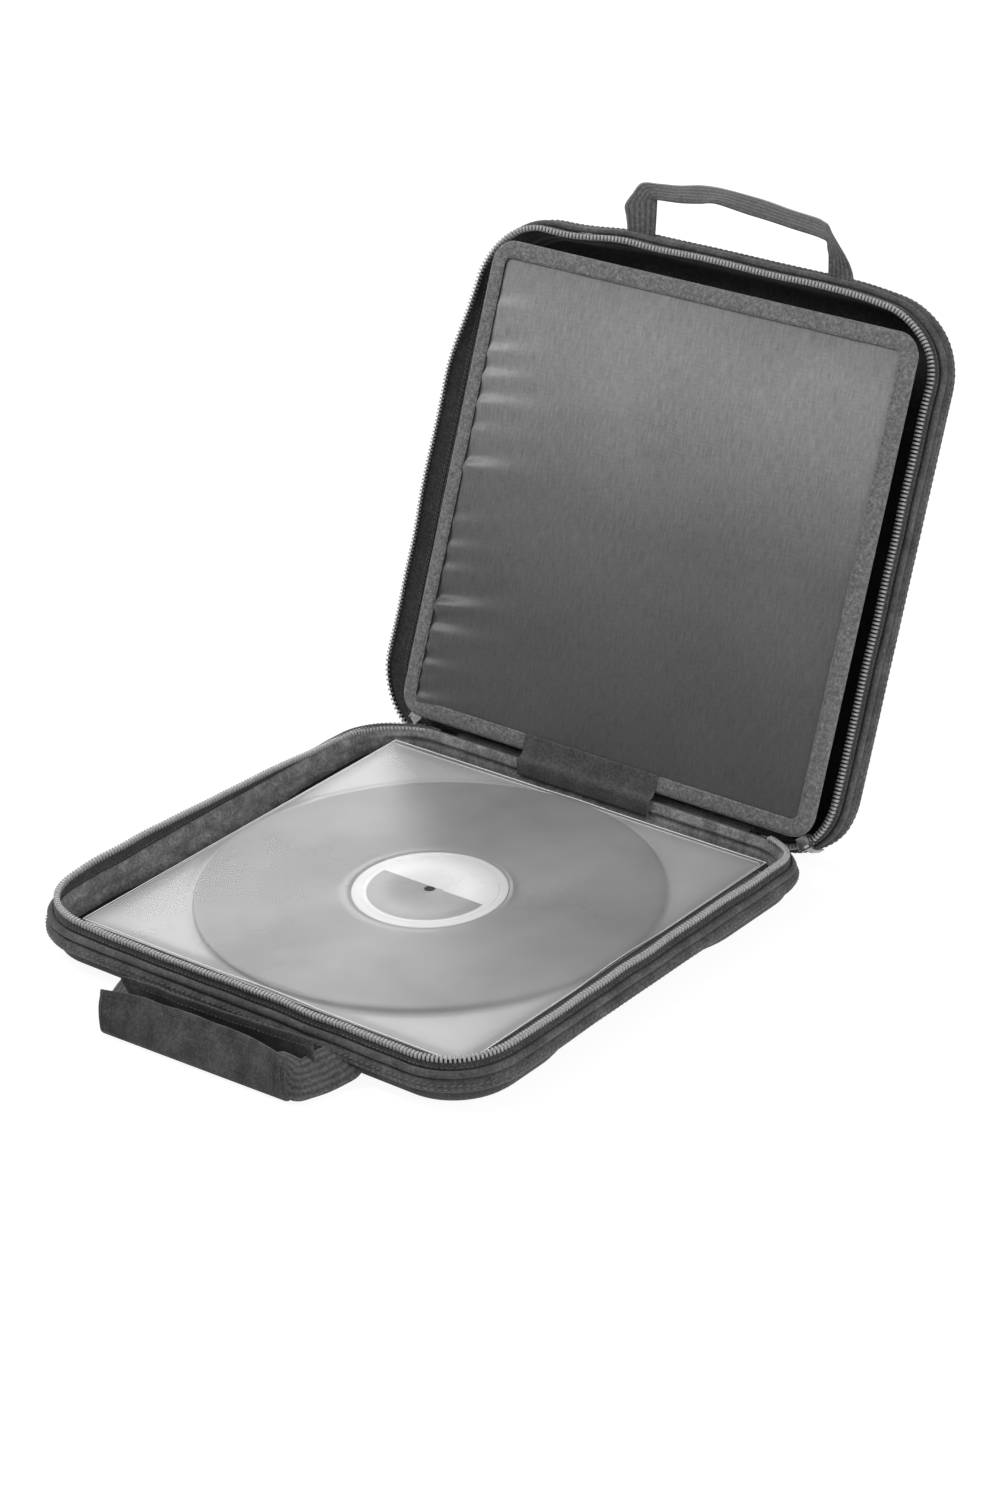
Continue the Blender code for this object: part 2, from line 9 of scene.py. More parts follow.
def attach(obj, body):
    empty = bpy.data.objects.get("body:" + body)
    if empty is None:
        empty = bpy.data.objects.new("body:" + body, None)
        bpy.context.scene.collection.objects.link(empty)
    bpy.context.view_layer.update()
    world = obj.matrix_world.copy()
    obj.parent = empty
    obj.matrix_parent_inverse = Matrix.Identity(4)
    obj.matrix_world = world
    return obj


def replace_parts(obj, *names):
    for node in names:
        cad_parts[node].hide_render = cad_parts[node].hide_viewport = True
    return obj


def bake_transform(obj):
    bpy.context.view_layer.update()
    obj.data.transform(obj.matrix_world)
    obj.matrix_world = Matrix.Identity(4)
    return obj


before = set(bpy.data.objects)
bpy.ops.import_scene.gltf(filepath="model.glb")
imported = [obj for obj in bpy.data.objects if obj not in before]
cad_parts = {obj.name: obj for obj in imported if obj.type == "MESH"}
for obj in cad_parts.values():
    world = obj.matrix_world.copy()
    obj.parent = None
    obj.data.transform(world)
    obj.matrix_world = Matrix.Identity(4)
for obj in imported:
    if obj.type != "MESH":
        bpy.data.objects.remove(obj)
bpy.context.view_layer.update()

# The case's outline and heights, in metres, as the solids have them
HALF = 0.176
RADIUS = 0.042
CENTRE = HALF - RADIUS
CORNER_ARC = math.pi / 2 * RADIUS
AROUND = 8 * CENTRE + 4 * CORNER_ARC
CLOSED_HEIGHT = 0.068
WALL = 0.0035
TAPE_FOOT, TAPE_TOP = 0.0246, 0.0301
LID_FRONT = -0.1836
LID_BAND = 0.0480

# The lid's hinge line, and how far it stands open
HINGE_Y, HINGE_Z = 0.173, 0.0205
OPEN = math.radians(112)

# How far the lid's soft edges stand off the solids
LID_BOW_OUT = 0.009
LID_BOW_FORWARD = 0.0015
LID_TAPE_LEAN = 0.0115
LID_CREST = 0.0050

# The inner panel
PANEL_HALF = 0.1705
PANEL_LENGTH = 0.3305
PANEL_REAR = 0.165
PANEL_FACE = 0.0244
PANEL_INSET = 0.0098

# The records: places of the top one and its sleeve, and the stack's heights
RECORD_X, RECORD_Y = 0.0022, 0.002
RECORD_RADIUS = 0.151
SPINDLE = 0.0036
SLEEVE_X, SLEEVE_Y = -0.001, 0.003
SLEEVE_HALF = 0.15425
LOWER_SLEEVE_HALF = 0.1530
TRAY_FLOOR = 0.0038
RECORD_STEP = 0.0041
STACK_TOP = TRAY_FLOOR + 3 * RECORD_STEP

# The label's two tones
TONE_RADIUS = 0.0405
TONE_LINE = 0.0035
RING_INNER, RING_OUTER = 0.0440, 0.0447

WORLD_LIGHT = 0.34


# Materials


def material(name):
    """A new material, its node tree and its shader."""
    made = bpy.data.materials.new(name)
    made.use_nodes = True
    return made, made.node_tree, made.node_tree.nodes["Principled BSDF"]


def uniform(shader, values):
    """Sets a node's plain values by their sockets' names."""
    for name, value in values.items():
        shader.inputs[name].default_value = value


def maths(tree, operation, *values):
    node = tree.nodes.new("ShaderNodeMath")
    node.operation = operation
    for socket, value in zip(node.inputs, values):
        if isinstance(value, (int, float)):
            socket.default_value = value
        else:
            tree.links.new(value, socket)
    return node.outputs[0]


def ramp(tree, factor, *stops):
    """Greys from (place, grey) stops."""
    node = tree.nodes.new("ShaderNodeValToRGB")
    tree.links.new(factor, node.inputs[0])
    elements = node.color_ramp.elements
    while len(elements) < len(stops):
        elements.new(0.5)
    for element, (place, grey) in zip(elements, stops):
        element.position = place
        element.color = (grey, grey, grey, 1)
    return node.outputs[0]


def noise(tree, vector, scale, detail=3.0, rough=0.55):
    node = tree.nodes.new("ShaderNodeTexNoise")
    uniform(node, {"Scale": scale, "Detail": detail, "Roughness": rough})
    tree.links.new(vector, node.inputs["Vector"])
    return node.outputs["Fac"]


def object_place(tree):
    return tree.nodes.new("ShaderNodeTexCoord").outputs["Object"]


def axes(tree, vector):
    """A vector's x, y and z."""
    split = tree.nodes.new("ShaderNodeSeparateXYZ")
    tree.links.new(vector, split.inputs[0])
    return split.outputs


def wave(tree, value, length):
    """A sine along value, one turn in each length."""
    return maths(tree, "SINE", maths(tree, "MULTIPLY", value, 2 * math.pi / length))


def relief(tree, shader, height, strength, distance):
    """Fine surface grain, by a bump node."""
    rise = tree.nodes.new("ShaderNodeBump")
    uniform(rise, {"Strength": strength, "Distance": distance})
    tree.links.new(height, rise.inputs["Height"])
    tree.links.new(rise.outputs[0], shader.inputs["Normal"])


def cloth(name, grey, pitch=(0.0012, 0.0012), grains=1.1, mottle=0.9, thread=0.12, bump=0.6, rough=0.88,
          ribs=0.0, patch=60.0, bias=False):
    """Woven cloth. The weave follows the piece's own lengths (u along, v across), in metres."""
    made, tree, shader = material(name)
    across, up, _ = axes(tree, tree.nodes.new("ShaderNodeUVMap").outputs[0])
    if bias:
        across, up = maths(tree, "ADD", across, up), maths(tree, "SUBTRACT", across, up)
    weave = maths(tree, "MULTIPLY", wave(tree, across, pitch[0]), wave(tree, up, pitch[1]))
    if ribs:
        weave = maths(tree, "MULTIPLY_ADD", weave, 0.5, wave(tree, up, ribs))
    place = object_place(tree)
    grain = maths(tree, "SUBTRACT", noise(tree, place, 550.0, 2.0), 0.5)
    blotch = maths(tree, "SUBTRACT", noise(tree, place, patch, 4.0), 0.5)
    level = maths(tree, "MULTIPLY_ADD", grain, grains, 0.5)
    level = maths(tree, "MULTIPLY_ADD", blotch, mottle, level)
    level = maths(tree, "MULTIPLY_ADD", weave, thread, level)
    colour = ramp(tree, level, (0.0, grey * 0.35), (0.5, grey), (1.0, grey * 2.1))
    tree.links.new(colour, shader.inputs["Base Color"])
    relief(tree, shader, maths(tree, "MULTIPLY_ADD", weave, 0.25, grain), bump, 0.0004)
    uniform(shader, {"Roughness": rough, "Sheen Weight": 0.25, "Sheen Roughness": 0.4,
                     "Specular IOR Level": 0.25})
    return made


def plain(name, grey, rough, grain=300.0, metal=0.0):
    """A hard material with a faint grain."""
    made, tree, shader = material(name)
    fine = noise(tree, object_place(tree), grain)
    tree.links.new(ramp(tree, fine, (0.3, grey * 0.75), (0.7, grey * 1.2)), shader.inputs["Base Color"])
    relief(tree, shader, fine, 0.2, 0.0002)
    uniform(shader, {"Roughness": rough, "Metallic": metal})
    return made


def panel_cloth():
    """Satin cloth with a fine upright weave, and painted light and shade: dark at its hinged edge and paler
    towards its top edge.
    """
    made, tree, shader = material("panel_satin")
    uv = tree.nodes.new("ShaderNodeUVMap").outputs[0]
    layers = []
    for scale, detail, rough in (((900.0, 90.0, 1.0), 3.0, 0.6), ((160.0, 700.0, 1.0), 2.0, 0.5)):
        stretch = tree.nodes.new("ShaderNodeMapping")
        stretch.inputs["Scale"].default_value = scale
        tree.links.new(uv, stretch.inputs["Vector"])
        layers.append(noise(tree, stretch.outputs[0], 1.0, detail, rough))
    threads, picks = layers
    level = maths(tree, "MULTIPLY", threads, 1.1)
    level = maths(tree, "MULTIPLY_ADD", picks, 0.5, level)
    level = maths(tree, "MULTIPLY_ADD", noise(tree, object_place(tree), 14.0), 0.5, level)
    level = maths(tree, "SUBTRACT", level, 0.05)
    # Painted shade and light: the base colour runs from dark at the hinged edge to palest near the top, as
    # the light falls across the satin.
    face_length = 0.311
    height = maths(tree, "MULTIPLY", axes(tree, uv)[1], 1 / face_length)
    shade = ramp(tree, height, (0.0, 0.046), (0.25, 0.066), (0.5, 0.105), (0.75, 0.215), (0.9, 0.235),
                 (1.0, 0.18))
    colour = tree.nodes.new("ShaderNodeVectorMath")
    colour.operation = "SCALE"
    tree.links.new(shade, colour.inputs[0])
    tree.links.new(level, colour.inputs["Scale"])
    tree.links.new(colour.outputs[0], shader.inputs["Base Color"])
    relief(tree, shader, threads, 0.35, 0.0003)
    uniform(shader, {"Roughness": 0.42, "Sheen Weight": 0.2, "Sheen Roughness": 0.35})
    return made


def from_record(tree):
    """Distance from the record's middle, and the x and y of it."""
    shift = tree.nodes.new("ShaderNodeVectorMath")
    shift.operation = "SUBTRACT"
    tree.links.new(object_place(tree), shift.inputs[0])
    shift.inputs[1].default_value = (RECORD_X, RECORD_Y, 0)
    x, y, _ = axes(tree, shift.outputs[0])
    squares = [maths(tree, "MULTIPLY", value, value) for value in (x, y)]
    return maths(tree, "SQRT", maths(tree, "ADD", *squares)), x, y


def film(name, alpha, grey, rough, smears, clear=0.0):
    """Sleeve film: a little milky, with soft smears, and clear within a radius of the record's middle."""
    made, tree, shader = material(name)
    place = object_place(tree)
    smear = noise(tree, place, 9.0)
    colour = ramp(tree, smear, (0.3, grey * 0.92), (0.7, min(grey * 1.06, 1.0)))
    tree.links.new(colour, shader.inputs["Base Color"])
    haze = maths(tree, "MULTIPLY_ADD", maths(tree, "SUBTRACT", smear, 0.5), smears, alpha)
    if clear:
        haze = maths(tree, "MULTIPLY", haze, maths(tree, "GREATER_THAN", from_record(tree)[0], clear))
    tree.links.new(haze, shader.inputs["Alpha"])
    relief(tree, shader, noise(tree, place, 22.0, 2.0), 0.25, 0.002)
    uniform(shader, {"Roughness": rough, "Specular IOR Level": 0.5})
    return made


def vinyl():
    """Black vinyl: grooved bands parted by a few smooth rings, with a painted highlight of faint bright
    streaks out from the middle.
    """
    made, tree, shader = material("record_vinyl")
    radius, x, y = from_record(tree)
    share = maths(tree, "MULTIPLY", radius, 1 / RECORD_RADIUS)
    rings = ramp(tree, share, (0.36, 0.0), (0.40, 1.0), (0.55, 1.0), (0.553, 0.1), (0.557, 1.0), (0.74, 1.0),
                 (0.743, 0.1), (0.747, 1.0), (0.96, 1.0), (0.98, 0.7))
    relief(tree, shader, maths(tree, "MULTIPLY", wave(tree, radius, 0.0009), rings), 0.5, 0.0002)
    # Painted highlight in the base colour: bright sectors out from the middle, as the grooves catch the
    # light; weaker on the smooth rings and at the rim.
    turn = maths(tree, "ARCTAN2", y, x)
    spokes = maths(tree, "SINE", maths(tree, "MULTIPLY_ADD", turn, 2.0, 0.5))
    fan = maths(tree, "SINE", maths(tree, "MULTIPLY_ADD", turn, 5.0, 1.9))
    painted_highlight = maths(tree, "MULTIPLY_ADD", spokes, 0.30, maths(tree, "MULTIPLY_ADD", fan, 0.12, 0.5))
    painted_highlight = maths(tree, "MULTIPLY", painted_highlight, maths(tree, "MULTIPLY_ADD", rings, 0.7, 0.3))
    tree.links.new(ramp(tree, painted_highlight, (0.0, 0.008), (1.0, 0.075)), shader.inputs["Base Color"])
    uniform(shader, {"Roughness": 0.30})
    return made


def label_paper():
    """Plain two-tone label: a pale disc whose lower part is grey inside a pale ring."""
    made, tree, shader = material("label_two_tone")
    radius, _, y = from_record(tree)
    inside = maths(tree, "LESS_THAN", radius, TONE_RADIUS)
    lower = maths(tree, "LESS_THAN", y, TONE_LINE)
    ring = maths(tree, "MULTIPLY", maths(tree, "GREATER_THAN", radius, RING_INNER),
                 maths(tree, "LESS_THAN", radius, RING_OUTER))
    shade = maths(tree, "ADD", maths(tree, "MULTIPLY", inside, lower), maths(tree, "MULTIPLY", ring, 0.30))
    shade = maths(tree, "MULTIPLY_ADD", noise(tree, object_place(tree), 400.0), 0.05, shade)
    tree.links.new(ramp(tree, shade, (0.0, 0.97), (1.0, 0.17)), shader.inputs["Base Color"])
    uniform(shader, {"Roughness": 0.45})
    return made


SHELL = cloth("case_nylon", 0.056)
BAND = cloth("rim_nylon", 0.084, mottle=1.2)
# The lining's near-black is painted shade inside the halves and behind the panel; the roll below is a much
# paler, lit copy of it for the base's inner wall.
SHADE_LINING = cloth("lining_painted_shade", 0.028, mottle=0.6)
ROLL = cloth("wall_roll_nylon", 0.19, mottle=1.3, patch=90.0)
TAPE = cloth("zip_tape_weave", 0.050, pitch=(0.0010, 0.0022), mottle=0.5)
WEBBING = cloth("webbing_rib", 0.085, pitch=(0.0014, 0.0023), thread=0.16, ribs=0.0038, mottle=0.5)
BINDING = cloth("binding_weave", 0.155, pitch=(0.0024, 0.0020), thread=0.2, mottle=0.8, patch=300.0,
                bias=True)
TAB = cloth("tab_tape", 0.068, pitch=(0.0020, 0.0020), mottle=0.7)
WRAP = cloth("wrap_nylon", 0.050, pitch=(0.0026, 0.0026), thread=0.2, mottle=1.6, bias=True)
HOOKS = cloth("hook_and_loop", 0.024, pitch=(0.0016, 0.0016), grains=2.0, bump=1.0)
THREAD = cloth("thread", 0.16, pitch=(0.0007, 0.0007), mottle=0.4, rough=0.7)
# Near-black painted shade: the binding's inner edge, the gaps between the zip teeth, and the spindle hole.
PAINTED_SHADE = cloth("seam_shadow", 0.018, mottle=0.2)
TEETH = plain("zip_teeth", 0.40, 0.34, grain=500.0)
METAL = plain("slider_metal", 0.32, 0.32, metal=0.9)
SATIN = panel_cloth()
FILM = film("sleeve_film", 0.34, 0.68, 0.30, smears=0.25, clear=SPINDLE)
LOWER_FILM = film("lower_sleeve_film", 0.95, 0.40, 0.40, smears=0.06)
EDGE_FILM = film("sleeve_edge_film", 0.90, 0.88, 0.30, smears=0.06)
VINYL = vinyl()
LABEL = label_paper()


# Building


def mm(rows):
    """Rows of millimetres, in metres."""
    return np.array(rows) / 1000


def smooth(value, start, end):
    """0 before start, 1 after end, and an even slope between them."""
    t = np.clip((np.asarray(value, float) - start) / (end - start), 0, 1)
    return t * t * (3 - 2 * t)


def ripple(s, seed, waves=7, low=3.0, high=26.0):
    """Smooth, repeatable unevenness along s, in metres, about -1 to 1."""
    rng = np.random.default_rng(seed)
    total = np.zeros_like(np.asarray(s, float))
    for _ in range(waves):
        total += rng.uniform(0.4, 1.0) * np.sin(2 * math.pi * (rng.uniform(low, high) * s + rng.uniform()))
    return total / (waves * 0.55)


def outline(s):
    """Point and outward normal at each length s round the case, from the rear middle by the left side."""
    s = np.asarray(s, float) % AROUND
    points, normals = np.zeros((len(s), 2)), np.zeros((len(s), 2))
    start = 0.0
    quarter_turn = math.pi / 2
    corners = ((-1, 1), (-1, -1), (1, -1), (1, 1))
    runs = [CENTRE] + [2 * CENTRE] * 3 + [CENTRE]
    for k in range(5):
        inside = (s >= start - 1e-9) & (s <= start + runs[k] + 1e-9)
        angle = quarter_turn * (k + 1)
        normal = np.array([math.cos(angle), math.sin(angle)])
        tangent = np.array([-normal[1], normal[0]])
        offset = s[inside] - start + (0 if k == 0 else -CENTRE)
        points[inside] = normal * HALF + tangent * offset[:, None]
        normals[inside] = normal
        start += runs[k]
        if k == 4:
            break
        inside = (s > start) & (s < start + CORNER_ARC)
        turn = angle + (s[inside] - start) / RADIUS
        normals[inside] = np.stack([np.cos(turn), np.sin(turn)], 1)
        points[inside] = np.array(corners[k]) * CENTRE + RADIUS * normals[inside]
        start += CORNER_ARC
    return points, normals


def lengths(*knots):
    """Stations along s: (end, step) pairs after the first start."""
    start, parts = knots[0], []
    for end, step in knots[1:]:
        count = max(2, round((end - start) / step))
        parts.append(np.linspace(start, end, count, endpoint=False))
        start = end
    return np.concatenate(parts + [[start]])


def rounded(middle, half, radius, steps=5, runs=24):
    """Points round a rectangle with rounded corners: steps on each corner, and runs along each side."""
    corners = [middle + (half - radius) * np.array(sign) for sign in ((1, 1), (-1, 1), (-1, -1), (1, -1))]
    pts = []
    for quarter, corner in enumerate(corners):
        for k in range(steps):
            angle = math.pi / 2 * (quarter + k / (steps - 1))
            spoke = radius * np.array([math.cos(angle), math.sin(angle)])
            pts.append(corner + spoke)
        here, end = pts[-1], corners[(quarter + 1) % 4] + spoke
        pts += [here + (end - here) * k / runs for k in range(1, runs)]
    return np.array(pts)


def opened(points):
    """Turns points of the closed lid or panel to where they lie open."""
    points = np.array(points, float)
    y, z = points[..., 1] - HINGE_Y, points[..., 2] - HINGE_Z
    c, s = math.cos(OPEN), math.sin(OPEN)
    points[..., 1], points[..., 2] = HINGE_Y + y * c + z * s, HINGE_Z - y * s + z * c
    return points


def pinch(x, y, z):
    """How far the middles of the left and right sides are drawn in, low down."""
    along = 1 - smooth(np.abs(y + 0.012), 0.035, 0.095)
    return np.where(np.abs(x) < CENTRE, 0.0, 0.014 * along * np.clip(1 - z / 0.014, 0, 1))


def placed(s, offset, z, lid):
    """Points at offset out from the outline and height z, drawn in at the sides and softened like cloth."""
    s, offset, z = np.broadcast_arrays(s, offset, z)
    points, normals = outline(s.ravel())
    points, normals = points.reshape(*s.shape, 2), normals.reshape(*s.shape, 2)
    drop = 0.004 * smooth(points[..., 1], 0.130, 0.172) * smooth(z, 0.012, 0.024)
    z = z - drop
    sway = 0.0008 * ripple(s, 11 if lid else 5) * smooth(z, 0.010, 0.030)
    place = points + normals * (offset + sway)[..., None]
    x, y = place[..., 0], place[..., 1]
    x = x - np.sign(x) * pinch(x, y, z)
    z = z + 0.0007 * ripple(s, 21 if lid else 15, low=2.0, high=12.0) * smooth(z, 0.016, 0.030)
    if lid:
        bow = smooth(-x / HALF, 0.15, 1.0) * smooth(z, 0.012, 0.034)
        x = x - LID_BOW_OUT * bow
        z = z + LID_BOW_FORWARD * bow
        crest = smooth(-y / HALF, 0.75, 1.0) * smooth(0.150 - np.abs(x - 0.015), 0.0, 0.070)
        y = y - LID_CREST * crest * smooth(z, -0.004, 0.014)
        return opened(np.stack([x, y, CLOSED_HEIGHT - z], -1))
    return np.stack([x, y, z], -1)


def mesh_piece(name, verts, faces, look, uvs, body):
    """A smooth-shaded piece; look is one material or a list of them."""
    mesh = bpy.data.meshes.new(name)
    mesh.from_pydata(np.asarray(verts, float).tolist(), [], faces)
    piece = bpy.data.objects.new(name, mesh)
    bpy.context.scene.collection.objects.link(piece)
    mesh.uv_layers.new(name="UVMap").data.foreach_set("uv", np.asarray(uvs, float).ravel())
    for looks in look if isinstance(look, list) else [look]:
        mesh.materials.append(looks)
    for polygon in mesh.polygons:
        polygon.use_smooth = True
    mesh.update()
    if body:
        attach(piece, body)
    return piece


def grid(name, points, look, body=None, close_u=False, close_v=False, cap=False, flip=False, bands=None):
    """A surface through points (stations along u, profile across v), with u and v as lengths in metres.
    bands gives each strip between two profile points a material index."""
    points = np.asarray(points, float)
    nu, nv = points.shape[:2]
    wrapped = np.concatenate([points, points[:1]]) if close_u else points
    step_u = np.linalg.norm(np.diff(wrapped, axis=0), axis=2).mean(1)
    u = np.concatenate([[0], np.cumsum(step_u)])
    wide = np.concatenate([points, points[:, :1]], 1) if close_v else points
    step_v = np.linalg.norm(np.diff(wide, axis=1), axis=2).mean(0)
    v = np.concatenate([[0], np.cumsum(step_v)])
    faces, uvs, marks = [], [], []
    for i in range(nu if close_u else nu - 1):
        for j in range(nv if close_v else nv - 1):
            a, b = i * nv + j, i * nv + (j + 1) % nv
            c, d = (i + 1) % nu * nv + (j + 1) % nv, (i + 1) % nu * nv + j
            corners = [(a, (u[i], v[j])), (b, (u[i], v[j + 1])),
                       (c, (u[i + 1], v[j + 1])), (d, (u[i + 1], v[j]))]
            if flip:
                corners.reverse()
            faces.append([k for k, _ in corners])
            uvs += [w for _, w in corners]
            marks.append(bands[j] if bands else 0)
    if cap:
        for end in (list(range(nv)), [(nu - 1) * nv + i for i in reversed(range(nv))]):
            faces.append(end[::-1] if flip else end)
            uvs += [(0.001 * (k % 5), 0.001 * (k % 3)) for k in range(len(end))]
            marks.append(0)
    piece = mesh_piece(name, points.reshape(-1, 3), faces, look, uvs, body)
    piece.data.polygons.foreach_set("material_index", marks)
    return piece


def many(name, origins, frames, shape, faces, look, body):
    """One mesh of many copies of a small shape; frames are 3x3 rows of axes."""
    shape = np.asarray(shape, float)
    verts = (shape[None] @ np.asarray(frames)) + np.asarray(origins)[:, None]
    count = len(shape)
    all_faces = [[i * count + k for k in face] for i in range(len(origins)) for face in faces]
    loops = sum(len(face) for face in faces)
    per = np.concatenate([shape[face][:, :2] for face in faces])
    uvs = np.tile(per, (len(origins), 1)).reshape(len(origins) * loops, 2)
    return mesh_piece(name, verts.reshape(-1, 3), all_faces, look, uvs, body)


def box_shape(x, y, z, top):
    """A box by its half lengths, narrowed at its top."""
    verts = [(sx * x * (top if sz > 0 else 1), sy * y * (top if sz > 0 else 1), sz * z)
             for sx in (-1, 1) for sy in (-1, 1) for sz in (-1, 1)]
    faces = [(0, 1, 3, 2), (4, 6, 7, 5), (0, 4, 5, 1), (2, 3, 7, 6), (0, 2, 6, 4), (1, 5, 7, 3)]
    return verts, [list(face) for face in faces]


def stitch_shape(length, radius):
    """One stitch of thread, whose ends dip into the cloth."""
    verts, faces = [], []
    for k, (x, r, lift) in enumerate(((-1, 0.35, -0.9), (-0.6, 1, 0), (0.6, 1, 0), (1, 0.35, -0.9))):
        for j in range(6):
            angle = math.pi / 3 * j
            y, z = r * math.cos(angle), r * math.sin(angle) + lift
            verts.append((x * length / 2, y * radius, z * radius))
    for k in range(3):
        for j in range(6):
            a, b = k * 6 + j, k * 6 + (j + 1) % 6
            faces.append([a, a + 6, b + 6, b])
    faces += [list(range(6)), list(range(23, 17, -1))]
    return verts, faces


def along(path, pitch, closed=False):
    """Evenly spaced places along a polyline, and the direction there."""
    path = np.asarray(path, float)
    if closed:
        path = np.concatenate([path, path[:1]])
    steps = np.linalg.norm(np.diff(path, axis=0), axis=1)
    total = np.concatenate([[0], np.cumsum(steps)])
    at = np.arange(pitch / 2, total[-1] - pitch / 2, pitch)
    places = np.stack([np.interp(at, total, path[:, k]) for k in range(3)], 1)
    ahead = np.stack([np.interp(at + pitch * 0.4, total, path[:, k]) for k in range(3)], 1) - places
    return places, ahead / np.linalg.norm(ahead, axis=1)[:, None], at / total[-1]


def stitches(name, path, out, body, pitch, length, radius=0.00032, look=THREAD, closed=False, slant=0.0):
    """A row of stitches along path; out is the surface's outward direction at each point of the path."""
    places, ahead, where = along(path, pitch, closed)
    out = np.broadcast_to(np.asarray(out, float), np.asarray(path).shape)
    if closed:
        out = np.concatenate([out, out[:1]])
    steps = np.linalg.norm(np.diff(np.concatenate([path, path[:1]]) if closed else path, axis=0), axis=1)
    total = np.concatenate([[0], np.cumsum(steps)]) / steps.sum()
    normal = np.stack([np.interp(where, total, out[:, k]) for k in range(3)], 1)
    side = np.cross(normal, ahead)
    side /= np.linalg.norm(side, axis=1)[:, None]
    turned = ahead * math.cos(slant) + side * math.sin(slant)
    side = side * math.cos(slant) - ahead * math.sin(slant)
    up = np.cross(turned, side)
    frames = np.stack([turned, side, up], 1)
    verts, faces = stitch_shape(length, radius)
    return many(name, places + up * radius * 0.25, frames, verts, faces, look, body)


FRONT_LEFT = CENTRE + CORNER_ARC + 2 * CENTRE
ROUND = lengths(0.0, (CENTRE, 0.010), (CENTRE + CORNER_ARC, 0.0045), (FRONT_LEFT, 0.006),
                (FRONT_LEFT + CORNER_ARC, 0.0045), (AROUND - FRONT_LEFT - CORNER_ARC, 0.006),
                (AROUND - FRONT_LEFT, 0.0045),
                (AROUND - CENTRE - CORNER_ARC, 0.006), (AROUND - CENTRE, 0.0045), (AROUND, 0.010))[:-1]


